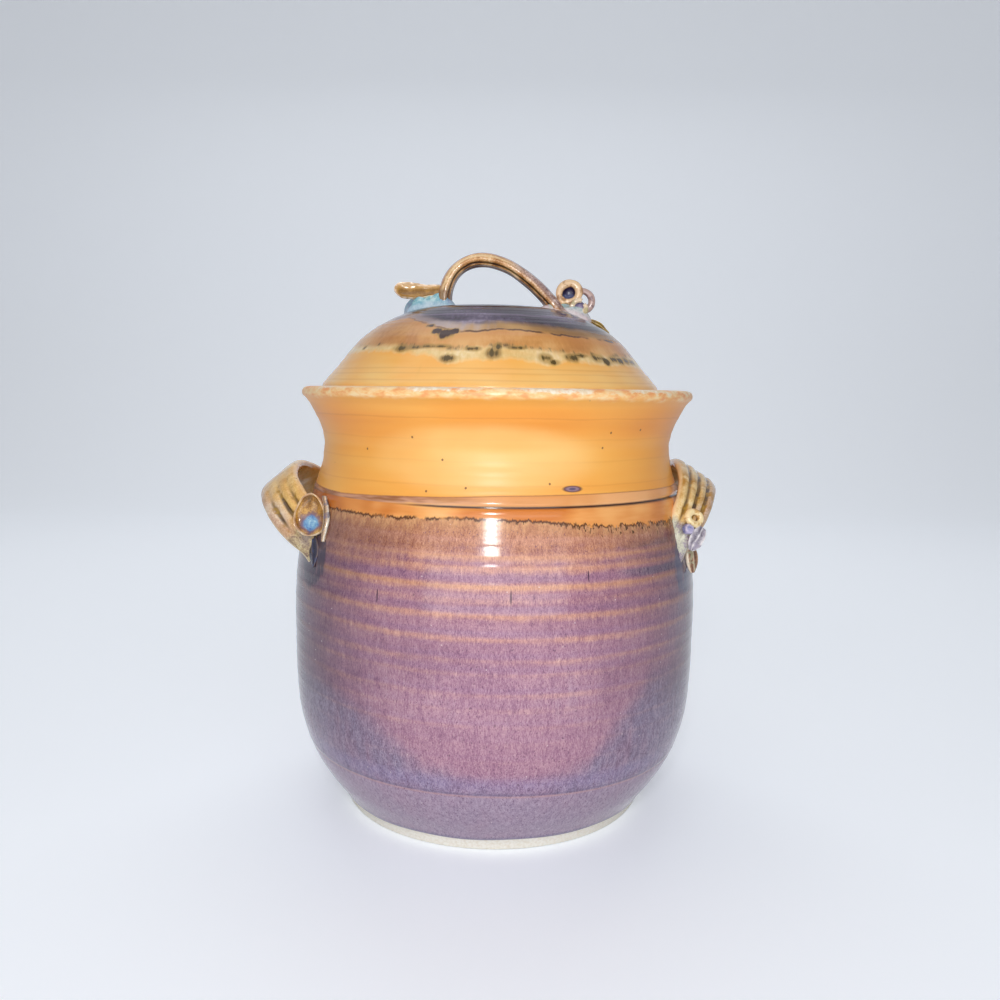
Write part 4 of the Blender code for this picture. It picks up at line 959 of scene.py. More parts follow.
def jar_shell():
    stations = [(0.0, 0.0), *OUTSIDE, *JAR_OUTLINE[RIM_INDEX:], (0.0, JAR_OUTLINE[-1, 1])]

    def spacing(radius, height, outside):
        if height < 1e-5 and radius < 0.078:
            return 1.1 * MM
        if outside or height > 0.222:
            return 0.7 * MM
        return 3.0 * MM if height > 0.02 else 4.0 * MM

    rows, outside = shell_rows(stations, spacing, 3, 1)
    angle = full_turn(JAR_COLUMNS, -pi)[None, :]
    radius, height = rows[:, :1], rows[:, 1:]
    tall = height / MM
    foot = outside & (tall > BASE_EDGE)
    groove_share = round_line(((-180, 0.5), (-60, 0.25), (-30, 0.35), (-13, 0.8), (18, 1.0),
                               (66, 1.3), (120, 1.0), (180, 0.5)), angle)
    bead_line = round_line(BEAD_LINE, angle)
    foot_line = round_line(FOOT_LINE, angle)
    ridges, thin, pooled = throwing_ridges(tall, angle)
    bead_share = np.clip((tall - GROOVE_HEIGHT / MM) / (bead_line - GROOVE_HEIGHT / MM), 0, 1)
    relief = ridges + 0.45 * np.sqrt(np.clip(1 - (2 * bead_share - 1) ** 2, 0, 1))
    relief -= groove_share * GROOVE_DEPTH / MM * bell(tall, GROOVE_HEIGHT / MM, 0.55)
    relief += 0.35 * bell(tall, 176.6, 1.5)
    relief -= 0.30 * bell(tall, foot_line, 0.7)
    relief += 0.16 * bell(tall - foot_line, 2.2, 1.6)
    edge = FOOT_BAND / MM + 0.35 * np.sin(3 * angle + 1) + 0.2 * np.sin(11 * angle)
    relief += 0.22 / (1 + np.exp(-(tall - edge) / 0.18))
    relief += 0.16 * bell(tall - edge, 0.7, 0.5)
    for line, size, width in NECK_RINGS:
        centre = line + 0.5 * np.sin(angle + line)
        relief += size * bell(tall, centre, width)
    relief += 0.05 * np.sin(tall * 4.1 + 0.9 * np.sin(angle)) * (tall < 178)
    relief += 0.10 * np.sin(2 * angle + tall / 30)
    relief += 0.05 * np.sin(5 * angle - tall / 17)
    relief = np.where(foot, relief, 0.0)
    fade = np.clip((232.5 - tall) / 3, 0, 1)
    rim_wave = 0.35 * np.sin(2 * angle + 0.6) + 0.16 * np.sin(7 * angle) + 0.08 * np.sin(17 * angle)
    near_rim = np.clip((tall - 228.5) / 3, 0, 1)
    inner = ~outside & (tall < 222)
    radius = radius + MM * (relief * fade + 0.5 * rim_wave * near_rim * outside
                            - inner * 0.22 * np.cos(tall * 0.7 + angle))
    under = outside & (tall <= BASE_EDGE) & (rows[:, :1] < 0.079)
    marks = 0.10 * (1 - np.cos(rows[:, :1] / MM * 2.9 + angle))
    height = height + MM * (np.where(under, marks, 0.0) + 0.12 * rim_wave * near_rim)
    height[0], height[-1] = rows[0, 1], rows[-1, 1]
    radius[0], radius[-1] = 0.4 * MM, 0.4 * MM
    values = {
        "jagged": tall - round_line(JAGGED_LINE, angle),
        "drip": round_line(DRIP_LENGTH, angle),
        "bead": tall - bead_line,
        "groove": groove_share,
        "foot": tall - foot_line,
        "patch": tall - round_line(PATCH_LINE, angle),
        "glaze": tall - edge,
        "crest": thin,
        "pooled": pooled,
        "outside": outside.astype(float),
    }
    piece = grid_piece("jar_shell", spun(radius, height, angle), values)
    dress(piece, "jar_body", "jar", jar_glaze())


def lid_shell():
    def spacing(radius, height, below):
        if below or height < 0.2296:
            return 3.0 * MM
        return 0.6 * MM if radius > 0.05 else 1.0 * MM

    rows, below = shell_rows(LID_OUTLINE, spacing, 2, 0)
    top = ~below
    angle = full_turn(LID_COLUMNS, -pi)[None, :]
    radius, height = rows[:, :1], rows[:, 1:]
    height = height - np.where(top, crown_drop(radius), 0.0)
    reach = radius / MM
    relief = 0.06 * np.sin(reach * 1.9 + angle) + 0.12 * np.sin(2 * angle + reach / 20)
    for ring, size, width in LID_RINGS:
        centre = ring + 0.25 * np.sin(angle + ring)
        relief += size * bell(reach, centre, width)
    crown = reach - round_line(CROWN_LINE, angle)
    drip_top = reach - round_line(DRIP_TOP, angle)
    drip_foot = reach - round_line(DRIP_FOOT, angle)
    thick = np.clip(drip_top, 0, 1) * np.clip(-drip_foot, 0, 1)
    relief += 0.14 * thick
    relief -= 0.10 * bell(crown, 0.3, 0.5)
    relief = np.where(top, relief * np.clip(reach / 8, 0, 1), 0.0)
    height = height + MM * relief
    radius = np.maximum(radius, 0.3 * MM) * np.ones_like(angle)
    dabs = np.zeros((len(rows), LID_COLUMNS))
    for degrees, distance, half_width, half_length in DARK_DABS:
        turn = (angle - radians(degrees) + pi) % (2 * pi) - pi
        across = turn * reach / half_width
        down = (reach - distance) / half_length
        dabs = np.maximum(dabs, np.exp(-across ** 2 - down ** 2))
    values = {
        "reach": reach,
        "crown": crown,
        "drip_top": drip_top,
        "drip_foot": drip_foot,
        "dab": dabs,
        "outside": top.astype(float),
    }
    piece = grid_piece("lid_shell", spun(radius, height, angle, LID_AXIS), values)
    dress(piece, "lid", "lid", lid_glaze())


def set_on_wall(points, flare=FLARE):
    """Spreads a piece's rows where they meet the jar's wall, and holds them in that wall."""
    middle = points.mean(1, keepdims=True)
    away = np.hypot(points[..., 0], points[..., 1]) - wall_radius(points[..., 2])
    spread = flare * np.exp(-np.clip(away, 0, None) / FLARE_REACH)
    points = points + unit(points - middle) * spread[..., None]
    radius = np.hypot(points[..., 0], points[..., 1])
    least = wall_radius(points[..., 2]) - SINK
    share = np.where(radius < least, least / radius, 1.0)
    points[..., :2] *= share[..., None]
    return points


def set_on_dome(points, flare=FLARE):
    """The same for what stands on the lid, whose pieces are placed from the lid's own axis."""
    middle = points.mean(1, keepdims=True)
    ground = dome_height(np.hypot(points[..., 0], points[..., 1]))
    spread = flare * np.exp(-np.clip(points[..., 2] - ground, 0, None) / FLARE_REACH)
    points = points + unit(points - middle) * spread[..., None]
    ground = dome_height(np.hypot(points[..., 0], points[..., 1]))
    points[..., 2] = np.maximum(points[..., 2], ground - SINK)
    points[..., 0] += LID_AXIS
    return points


def fading(depth, turn, middle, width):
    """A depth that fades out along a strap, about the middle of the fade."""
    return depth / (1 + exp((turn - middle) / width))


class Strap:
    """The arch of a side handle, in a plane that holds Y and leans out from the wall."""

    def __init__(self, side, attach, drop, rise, tilt, lean, end_width):
        height = LEDGE_HEIGHT - drop
        radius = float(wall_radius(height))
        self.side, self.rise, self.end_width = side, rise, end_width
        self.half_span = radius * sin(attach)
        self.middle = np.array((side * radius * cos(attach), 0.0, height))
        self.out = np.array((side * cos(tilt), 0.0, sin(tilt)))
        self.lean = np.array((-side * sin(lean), 0.0, cos(lean)))

    def frame(self, turn):
        """Centre, across, along and outwards, from the front end at 0 to the back end at pi."""
        back = np.array((0.0, self.half_span, 0.0))
        centre = self.middle + self.out * (self.rise * sin(turn)) - back * cos(turn)
        along = unit(self.out * (self.rise * cos(turn)) + back * sin(turn))
        face = unit(np.cross(along, self.lean) * self.side)
        return centre, np.cross(face, along) * self.side, along, face

    def face_place(self, turn, offset, lift):
        """The same for a place beside the middle of the strap's face and above it."""
        centre, across, along, face = self.frame(turn)
        centre = centre - across * offset + face * (STRAP_THICKNESS / 2 + lift)
        return centre, np.cross(face, along), -along, face

    def width(self, turn):
        return self.end_width + (STRAP_WIDTH - self.end_width) * sin(turn)


def strap_piece(name, node, strap, seed, groove_depth):
    """A pulled strap with ribs, thickest in the middle of each, whose edges are pinched."""
    even = np.linspace(1, -1, 97)
    share = np.sign(even) * (1 - (1 - np.abs(even)) ** 1.35)
    back_share = -share[4:-4:4]
    groove = np.where(np.abs(share) < 0.75, 0.5 + 0.5 * np.cos(pi * STRAP_RIBS * (share + 1)), 0)
    half = STRAP_THICKNESS / 2
    front = half * np.sqrt(np.clip(1 - share ** 6, 0, 1))
    back = -half * np.sqrt(np.clip(1 - back_share ** 6, 0, 1))
    rows, sunk, turns = [], [], np.linspace(0.0, pi, 96)
    for turn in turns:
        centre, across, along, face = strap.frame(turn)
        width = strap.width(turn) / 2 * (1 + 0.03 * sin(5 * turn + seed))
        depth = groove_depth(turn) * (1 + 0.25 * np.sin(2.3 * turn + 4 * share + seed))
        depth = depth * min(1.0, turn / 0.4)
        ridge = front - depth * groove ** 1.8
        sunk.append(np.concatenate((depth / RIB_DEPTH * groove ** 2.2, np.zeros(len(back_share)))))
        x = np.concatenate((share, back_share)) * width
        y = np.concatenate((ridge, back))
        rows.append(placed(centre, across, x, face, y))
    bury = strap.out * STRAP_BURIED
    first = [rows[0] - bury * s for s in (1.0, 0.6, 0.3, 0.1)]
    last = [rows[-1] - bury * s for s in (0.1, 0.3, 0.6, 1.0)]
    grid = set_on_wall(wobble(np.array(first + rows + last), 0.30 * MM, 120, seed))
    along = np.concatenate((np.zeros(4), turns / pi, np.ones(4)))[:, None]
    values = {
        "sunk": np.clip(np.array([sunk[0]] * 4 + sunk + [sunk[-1]] * 4), 0, 1),
        "across": np.concatenate((share, back_share))[None, :],
        "along": along,
        "front": np.concatenate((np.ones(len(share)), np.zeros(len(back_share))))[None, :],
    }
    piece = grid_piece(name, grid, values)
    dress(piece, node, "jar", strap_glaze(name, strap.side))


def leaf_grid(spine, width, thickness, skew=1.0, cup=0.45, midrib=0.22, sides=40, point=0.75):
    """A pressed leaf with raised edges and a rib down its middle, from a list of frames."""
    rows, ridges = [], []
    turns = full_turn(sides)
    for i, (centre, across, face) in enumerate(spine):
        share = (i / (len(spine) - 1)) ** skew
        full = sin(pi * (0.10 + 0.87 * share)) ** point
        half_width, half_thickness = width / 2 * full, thickness / 2 * (0.35 + 0.65 * full)
        x = np.cos(turns) * half_width
        upper = np.sin(turns) > 0
        hollow = cup * np.cos(turns) ** 2 - 0.25 + midrib * bell(np.cos(turns), 0.0, 0.16)
        y = half_thickness * (np.sin(turns) + np.where(upper, hollow * full, 0.2 * np.cos(turns) ** 2))
        rows.append(placed(centre, across, x, face, y))
        edge = np.abs(np.cos(turns)) ** 3
        ridges.append(np.clip(edge + 0.7 * bell(np.cos(turns), 0.0, 0.16) * upper, 0, 1))
    return np.array(rows), {"ridge": np.array(ridges)}


def wall_frame(side, angle, height):
    """A place on the wall: its point, across, up and outwards."""
    level = np.array((side * cos(angle), -sin(angle), 0.0))
    slope = (wall_radius(height + MM) - wall_radius(height - MM)) / (2 * MM)
    up = unit(level * slope + np.array((0, 0, 1.0)))
    across = np.cross((0, 0, 1.0), level)
    return level * wall_radius(height) + np.array((0, 0, height)), across, up, np.cross(across, up)


def wall_leaf(name, node, slot, material, side, seed, start, end, width, thickness, bow=0.5,
              tilt=0.0, **shape):
    """A leaf pressed on the wall, from one angle and drop below the ledge to another."""
    frames = []
    for share in np.linspace(0, 1, 36):
        angle, drop = (a + (b - a) * share for a, b in zip(start, end))
        centre, across, up, face = wall_frame(side, angle, LEDGE_HEIGHT - drop)
        lift = thickness / 2 - 0.6 * MM + width / 2 * sin(abs(tilt)) * 0.8
        frames.append((centre + face * lift + across * (bow * MM * sin(pi * share ** 0.8)), face))
    line = unit(frames[-1][0] - frames[0][0])
    spine = []
    for centre, face in frames:
        across = unit(np.cross(line, face))
        turned = face * cos(tilt) + across * sin(tilt)
        spine.append((centre, unit(np.cross(line, turned)), turned))
    grid, values = leaf_grid(spine, width, thickness, **shape)
    grid = set_on_wall(wobble(grid, 0.22 * MM, 260, seed), 0.5 * MM)
    dress(grid_piece(name, grid, values), node, "jar", material)


def spoon_curl(strap):
    """An egg-shaped dish of clay with a thin, uneven rim and a pool of glaze at its foot."""
    centre, across, down, face = strap.face_place(radians(11), -0.0080, 0.0024)
    twist = radians(-44)
    x_axis = across * cos(twist) + down * sin(twist)
    y_axis = down * cos(twist) - across * sin(twist)
    half_length, half_width = 0.0112, 0.0083
    turns = full_turn(96)
    rows, pool, ridge = [], [], []
    egg = 1 + 0.17 * np.sin(turns) + 0.03 * np.sin(3 * turns + 1)
    rim_height = 3.4 * MM + 0.6 * MM * np.sin(2 * turns + 0.7) + 0.3 * MM * np.sin(5 * turns)

    def ring(share, lift, edge):
        x, y = half_width * share * np.cos(turns) * egg, half_length * share * np.sin(turns)
        rows.append(placed(centre, x_axis, x, y_axis, y) + face * lift[:, None])
        pool.append(np.hypot(x - 0.2 * MM, y - 4.3 * MM) / MM)
        ridge.append(np.full(len(turns), edge))

    for share in np.linspace(0.02, 0.95, 30) ** 0.85:
        lift = rim_height * (0.10 * share ** 2 + 0.84 * share ** 9) - 0.3 * MM
        ring(share, lift, max(0.0, (share - 0.90) / 0.05))
    for a in np.linspace(0.3, pi, 8):
        ring(0.965 + 0.05 * sin(a / 2), rim_height - 0.4 * MM + 0.4 * MM * (cos(a) - 1) * 1.2, 1.0)
    for share, lift in ((1.0, 0.4), (0.95, -0.8), (0.8, -2.0), (0.5, -2.8), (0.2, -3.2), (0.03, -3.2)):
        ring(share, np.full(len(turns), lift * MM), 0.6)
    grid = wobble(np.array(rows), 0.35 * MM, 190, 3.1)
    values = {"pool": np.array(pool), "ridge": np.clip(ridge, 0, 1)}
    piece = grid_piece("left_spoon", set_on_wall(grid, 0.3 * MM), values)
    dress(piece, "left_spoon_curl", "jar", spoon_glaze())


def coil_grid(centre, level_x, level_y, face, radius, tube, seed, start=0.0, turn=2 * pi,
              line=0.12):
    """A curl of rolled clay, a little uneven, that winds out from its start and tapers there."""
    share = np.linspace(0, 1, 96)
    section = full_turn(34)
    closed = abs(turn - 2 * pi) < 0.01
    rows = []
    for part in share[:-1] if closed else share:
        angle = start + turn * part
        out = level_x * cos(angle) + level_y * sin(angle)
        thick = 1 + 0.08 * sin(angle + seed) + 0.05 * sin(3 * angle + 2 * seed)
        wind = 0.0
        if not closed:
            thick *= 0.62 + 0.38 * min(1.0, part / 0.2) - 0.25 * max(0.0, (part - 0.85) / 0.15)
            wind = (part - 0.5) * 0.55 * tube
        press = 1 - line * bell(section, pi / 2, 0.26) * 2.0
        reach = radius * (1 + 0.04 * sin(2 * angle + seed)) + wind
        reach = reach + tube * thick * np.cos(section) * press
        lift = tube * thick * np.sin(section) * press + wind * 0.6
        rows.append(placed(centre, out, reach, face, lift))
    ridge = 1 - bell(section, pi / 2, 0.30) * (line > 0)
    return wobble(np.array(rows), 0.18 * MM, 240, seed), {"ridge": ridge[None, :]}, closed


def right_ring(strap):
    """A small ring of coiled clay on the right handle's front end."""
    centre, across, down, face = strap.face_place(radians(20), 0.0015, 0.0013)
    grid, values, closed = coil_grid(centre, across, down, face, 3.5 * MM, 1.85 * MM, 1.3, line=0.0)
    ring = grid_piece("right_ring", grid, values, wrap_rows=closed)
    dress(ring, "right_ring_curl", "jar", curl_glaze("ring_glaze", RING_TONES, 0.46))


def right_bead():
    """A ball of clay whose front is pressed in, so that it has a rim."""
    low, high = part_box("right_ball")
    middle, size = (np.array(low) + np.array(high)) / 2, (np.array(high) - np.array(low)) / 2
    front = unit(np.array((0.30, -0.92, 0.25)))
    side_axis = unit(np.cross(front, (0, 0, 1.0)))
    up_axis = np.cross(side_axis, front)
    turns = full_turn(52)
    away = np.linspace(0.04, pi - 0.05, 40)
    rows = []
    for turn in away:
        reach = 1 - 0.20 * bell(turn, 0.0, 0.55) + 0.05 * bell(turn, 0.85, 0.3)
        level = sin(turn) * (1 + 0.05 * np.sin(2 * turns + 1) + 0.03 * np.sin(5 * turns))
        flat = (side_axis * (level * np.cos(turns))[:, None]
                + up_axis * (level * np.sin(turns))[:, None])
        rows.append(middle + reach * size * (flat + front * cos(turn)))
    rim = bell(away, 0.80, 0.26)[:, None]
    grid = wobble(np.array(rows), 0.22 * MM, 260, 5.0)
    ball = grid_piece("right_bead", grid, {"ridge": 0.42 + 0.30 * rim})
    dress(ball, "right_ball", "jar", curl_glaze("ball_glaze", BALL_TONES))


def right_flap(strap):
    """A crumpled leaf along the right strap's lower edge."""
    spine = []
    for turn in np.linspace(radians(17), radians(-2), 30):
        centre, across, along, face = strap.frame(turn)
        lift = STRAP_THICKNESS / 2 + 0.8 * MM
        spine.append((centre - across * 7.6 * MM + face * lift, across, face))
    grid, values = leaf_grid(spine, 8.0 * MM, 3.0 * MM, cup=0.8, midrib=0.0, point=0.5)
    grid = set_on_wall(wobble(wobble(grid, 0.7 * MM, 330, 8.0), 0.5 * MM, 130, 2.0), 0.3 * MM)
    leaf = grid_piece("right_flap", grid, values)
    dress(leaf, "right_low_leaf", "jar", curl_glaze("flap_glaze", FLAP_TONES))


# Lid handle, its pads, leaves and curls

def bezier(corners, count):
    """Points along the curve that four corners pull."""
    t = np.linspace(0, 1, count)[:, None]
    a, b, c, d = (np.array(corner) for corner in corners)
    return a * (1 - t) ** 3 + b * 3 * t * (1 - t) ** 2 + c * 3 * t * t * (1 - t) + d * t ** 3


def arch_piece():
    """The pulled handle of the lid, with grooves along it."""
    crown = np.array((-ARCH_CROWN, 0.0, float(LID_OUTLINE[-1, 1]) + ARCH_HEIGHT - 0.4 * MM))
    left = np.array((-ARCH_LEFT, 0.0, float(dome_height(ARCH_LEFT))))
    right = np.array((ARCH_RIGHT, 0.0, float(dome_height(ARCH_RIGHT))))
    up = bezier((left, left + (-0.0016, 0, 0.0162), crown - (0.0130, 0, 0), crown), 48)
    down = bezier((crown, crown + (0.0145, 0, 0), right + (-0.0150, 0, 0.0175), right), 56)
    line = np.vstack((up, down[1:]))
    along = unit(np.gradient(line, axis=0))
    line = np.vstack((line[0] - along[0] * 4 * MM, line, line[-1] + along[-1] * 4 * MM))
    along = np.vstack((along[:1], along, along[-1:]))
    across = np.array((0.0, 1.0, 0.0))
    turns = full_turn(96)
    grooves = np.zeros(len(turns))
    for middle, depth, width in ((pi + 0.62, 0.95, 0.17), (2 * pi - 0.62, 0.95, 0.17),
                                 (pi - 0.30, 0.30, 0.16), (0.30, 0.30, 0.16),
                                 (pi / 2 - 0.45, 0.22, 0.16), (pi / 2 + 0.45, 0.22, 0.16),
                                 (1.5 * pi - 0.4, 0.30, 0.18), (1.5 * pi + 0.4, 0.30, 0.18)):
        grooves += depth * bell(turns, middle, width)
    rows = []
    for i, centre in enumerate(line):
        face = np.cross(along[i], across)
        swell = 1 + 0.03 * sin(i * 0.16)
        x = (ARCH_WIDTH / 2 * swell - grooves * MM) * np.cos(turns)
        y = (ARCH_THICKNESS / 2 * swell - grooves * MM * 0.8) * np.sin(turns)
        rows.append(placed(centre, across, x, face, y))
    grid = set_on_dome(wobble(np.array(rows), 0.25 * MM, 110, 2.2), 1.9 * MM)
    values = {"ridge": 1 - np.clip(grooves, 0, 1)[None, :],
              "along": np.linspace(0, 1, len(line))[:, None],
              "across": np.sin(turns)[None, :]}
    piece = grid_piece("lid_arch", grid, values)
    dress(piece, "lid_handle", "lid", arch_glaze())


def pad_piece(name, node, material, side, seed, ends, tops):
    """A mound of clay pooled over with glaze, whose top runs through the given heights."""
    u = np.linspace(-0.14, 1.14, 84)[:, None]
    v = np.linspace(-1.16, 1.16, 72)[None, :]
    rise = np.clip(1 - np.abs(2 * u - 1) ** 6, 0, 1) ** 0.5 * np.clip(1 - np.abs(v) ** 3.5, 0, 1) ** 0.6
    lump = 1 + 0.13 * np.sin(7 * u + seed) * np.cos(2.3 * v + seed) + 0.07 * np.sin(15 * u - 5 * v)
    lump = lump + 0.10 * np.abs(np.sin(9 * u + 4 * v + seed)) - 0.12 * np.abs(np.cos(6 * u - 5 * v))
    x = side * (ends[0] + (ends[1] - ends[0]) * (u + 0.05 * np.sin(3 * v + seed)))
    y = PAD_WIDTH / 2 * v * (1 + 0.10 * np.sin(4 * u + seed) + 0.08 * np.sin(11 * u))
    ground = dome_height(np.hypot(x, y))
    height = np.interp(u, np.linspace(0, 1, len(tops)), tops) - ground
    z = ground + np.maximum(height, 0.8 * MM) * rise * lump
    z = z + np.where(rise > 0, 0.10 * MM, -0.8 * MM)
    upper = np.stack((x, y, z), -1)
    upper[..., 0] += LID_AXIS
    lower = upper.copy()
    lower[..., 2] = ground - 1.6 * MM
    rows, columns = upper.shape[:2]
    border = [*[(0, j) for j in range(columns)], *[(i, columns - 1) for i in range(1, rows)],
              *[(rows - 1, j) for j in range(columns - 2, -1, -1)],
              *[(i, 0) for i in range(rows - 2, 0, -1)]]
    index = np.arange(rows * columns).reshape(rows, columns)
    quads = np.stack((index[:-1, :-1], index[1:, :-1], index[1:, 1:], index[:-1, 1:]), -1)
    quads = quads.reshape(-1, 4)
    count = rows * columns
    faces = quads.tolist() + (quads[:, ::-1] + count).tolist()
    for (i, j), (k, m) in zip(border, border[1:] + border[:1]):
        a, b = int(index[i, j]), int(index[k, m])
        faces.append([a, b, b + count, a + count])
    points = np.vstack((upper.reshape(-1, 3), lower.reshape(-1, 3)))
    values = {"ridge": np.clip(rise, 0, 1), "along": np.broadcast_to(u, (rows, columns))}
    values = {key: np.tile(value.reshape(-1), 2) for key, value in values.items()}
    dress(mesh_piece(name, points, faces, values), node, "lid", material)


def lid_left_leaf():
    """A tongue of clay that points left, broad along most of its length, with raised edges."""
    start = ARCH_LEFT + ARCH_THICKNESS / 2 - 1.5 * MM
    low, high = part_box("lid_left_leaf")
    middle = (low.z + high.z) / 2 - 0.2 * MM
    lean = radians(35)
    wide = np.array((0.0, sin(lean), cos(lean)))
    face = np.array((0.0, -cos(lean), sin(lean)))
    length = -low.x + LID_AXIS - start
    turns = full_turn(60)
    rows, ridges = [], []
    for share in np.linspace(0, 1, 52):
        lift = middle + MM * np.interp(share, (0, 0.3, 0.55, 0.8, 1), (0.9, 0.0, -0.4, 0.2, 1.2))
        centre = np.array((-start - length * share + LID_AXIS, 0.0, lift))
        full = np.interp(share, (0, 0.15, 0.35, 0.55, 0.72, 0.84, 0.92, 0.97, 1),
                         (0.56, 0.64, 0.82, 0.96, 1.0, 0.92, 0.72, 0.46, 0.14))
        x = np.cos(turns) * 5.6 * MM * full
        rim = np.abs(np.cos(turns)) ** 2.6
        upper = np.sin(turns) > 0
        y = np.sin(turns) * 1.1 * MM + np.where(upper, (rim - 0.50) * 3.6 * MM, 0.3 * MM) * full
        rows.append(placed(centre, wide, x, face, y))
        ridges.append(np.clip(rim + max(0.0, (share - 0.90) / 0.08), 0, 1))
    grid = wobble(np.array(rows), 0.45 * MM, 190, 4.0)
    piece = grid_piece("lid_leaf", grid, {"ridge": np.array(ridges)})
    dress(piece, "lid_left_leaf", "lid", curl_glaze("leaf_glaze", LEAF_TONES))


def standing_curl(name, node, tones, eye_tones, seed, radius, tube, start, turn):
    """A curl of clay that stands on the lid and is seen face on, with glaze held in its eye."""
    low, high = (np.array(corner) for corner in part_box(node))
    centre = np.array(((low[0] + high[0]) / 2, (low[1] + high[1]) / 2, high[2] - radius - tube))
    right, up, face = np.array((1.0, 0, 0)), np.array((0, 0, 1.0)), np.array((0, -1.0, 0))
    grid, values, closed = coil_grid(centre, right, up, face, radius, tube, seed, start, turn, 0.0)
    piece = grid_piece(name, grid, values, wrap_rows=closed)
    dress(piece, node, "lid", curl_glaze(name + "_glaze", tones))
    if eye_tones:
        turns = full_turn(48)
        rows = []
        for share, depth in ((1.0, 0.1), (0.85, 0.35), (0.6, 0.6), (0.3, 0.75), (0.02, 0.8),
                             (0.02, 1.4), (0.6, 1.4), (1.0, 1.2)):
            x, z = (0.9 * radius * share * axis for axis in (np.cos(turns), np.sin(turns)))
            y = np.full(48, depth * MM) + 0.12 * MM * np.sin(3 * turns + seed) * share
            rows.append(centre + np.stack((x, y, z), -1))
        lift = np.sin(turns)[None, :] * np.array((1, 0.85, 0.6, 0.3, 0, 0, 0, 0))[:, None]
        values = {"ridge": np.clip(0.35 - 0.75 * lift, 0, 1)}
        eye = grid_piece(name + "_eye", np.array(rows), values)
        eye.data.materials.append(curl_glaze(name + "_eye_glaze", eye_tones))
        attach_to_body(eye, "lid")


def lid_right_leaf():
    """A leaf that runs down the dome from under the curls."""
    front, lean = np.array((0.0, -1.0, 0.0)), radians(25)
    spine = []
    for station in np.linspace(0.0535, 0.0668, 34):
        slope = (dome_height(station + MM) - dome_height(station - MM)) / (2 * MM)
        up = np.cross(front, unit(np.array((1.0, 0.0, float(slope)))))
        wide = up * cos(lean) + front * sin(lean)
        face = front * cos(lean) + up * sin(lean)
        centre = np.array((station + LID_AXIS, 0.0, float(dome_height(station)))) + up * 0.9 * MM
        spine.append((centre, wide, face))
    grid, values = leaf_grid(spine, 4.6 * MM, 3.0 * MM, cup=0.6, midrib=0.35, point=1.2)
    piece = grid_piece("lid_tail", wobble(grid, 0.55 * MM, 200, 6.0), values)
    dress(piece, "lid_right_leaf", "lid", curl_glaze("tail_glaze", TAIL_TONES))


def build_object():
    jar_shell()
    lid_shell()
    left, right = Strap(**LEFT_STRAP), Strap(**RIGHT_STRAP)
    strap_piece("left_strap", "left_handle", left, 0.0,
                lambda turn: fading(RIB_DEPTH, turn, 0.80, 0.13))
    strap_piece("right_strap", "right_handle", right, 7.0,
                lambda turn: 0.0007 + fading(RIB_DEPTH - 0.0007, turn, 1.6, 0.25))
    spoon_curl(left)
    wall_leaf("left_side_roll", "left_side_coil", "cream_glaze",
              curl_glaze("roll_glaze", ROLL_TONES), side=-1, seed=1.0,
              start=(radians(31.6), -0.0008), end=(radians(37.6), 0.0210),
              width=0.0038, thickness=0.0040, bow=4.2, cup=-0.3, midrib=0.0, point=0.7)
    wall_leaf("left_tail_leaf", "left_tail", "slate_glaze",
              curl_glaze("slate_leaf", SLATE_TONES), side=-1, seed=2.0,
              start=(radians(30.5), 0.0190), end=(radians(34), 0.0350), tilt=radians(-10),
              width=0.0084, thickness=0.0020, cup=0.2, midrib=0.5, point=1.1)
    wall_leaf("right_tail_leaf", "right_tail", "cream_glaze",
              curl_glaze("cream_leaf", CREAM_TONES), side=1, seed=3.0,
              start=(radians(22), 0.0245), end=(radians(23), 0.0390), tilt=radians(32),
              width=0.0082, thickness=0.0036, cup=0.7, midrib=0.3, point=0.6)
    right_ring(right)
    right_bead()
    right_flap(right)
    arch_piece()
    pad_piece("lid_pool_left", "lid_left_pad", pad_glaze("left_pad", LEFT_POOL, LEFT_POOL_EDGE),
              side=-1, seed=0.4, ends=(ARCH_LEFT - 0.0050, 0.0487),
              tops=(0.2838, 0.2868, 0.2868, 0.2858, 0.2830))
    pad_piece("lid_pool_right", "lid_right_pad", pad_glaze("right_pad", RIGHT_POOL, RIGHT_POOL_EDGE),
              side=1, seed=1.9, ends=(ARCH_RIGHT - 0.0110, 0.0560),
              tops=(0.2820, 0.2832, 0.2825, 0.2810, 0.2775))
    lid_left_leaf()
    standing_curl("lid_loop", "lid_loop_curl", LOOP_TONES, LOOP_EYE, seed=0.5,
                  radius=5.4 * MM, tube=2.1 * MM, start=radians(-150), turn=radians(395))
    standing_curl("lid_bud", "lid_bud_curl", BUD_TONES, BUD_EYE, seed=2.0,
                  radius=3.8 * MM, tube=1.5 * MM, start=radians(40), turn=radians(-330))
    standing_curl("lid_back_loop", "lid_back_curl", BACK_TONES, None, seed=3.0,
                  radius=5.6 * MM, tube=2.0 * MM, start=radians(-120), turn=radians(340))
    lid_right_leaf()


# Stage, lights and camera

def seen_strength(tree, seen, other, socket):
    """Joins a strength that the camera, reflections and glass see, and another for all else."""
    nodes, links = tree.nodes, tree.links
    path = nodes.new("ShaderNodeLightPath")
    looked_at = path.outputs["Is Camera Ray"]
    for output in ("Is Glossy Ray", "Is Transmission Ray"):
        either = nodes.new("ShaderNodeMath")
        either.operation = "MAXIMUM"
        links.new(looked_at, either.inputs[0])
        links.new(path.outputs[output], either.inputs[1])
        looked_at = either.outputs[0]
    strength = nodes.new("ShaderNodeMath")
    strength.operation = "MULTIPLY_ADD"
    strength.inputs[1].default_value = seen - other
    strength.inputs[2].default_value = other
    links.new(looked_at, strength.inputs[0])
    links.new(strength.outputs[0], socket)


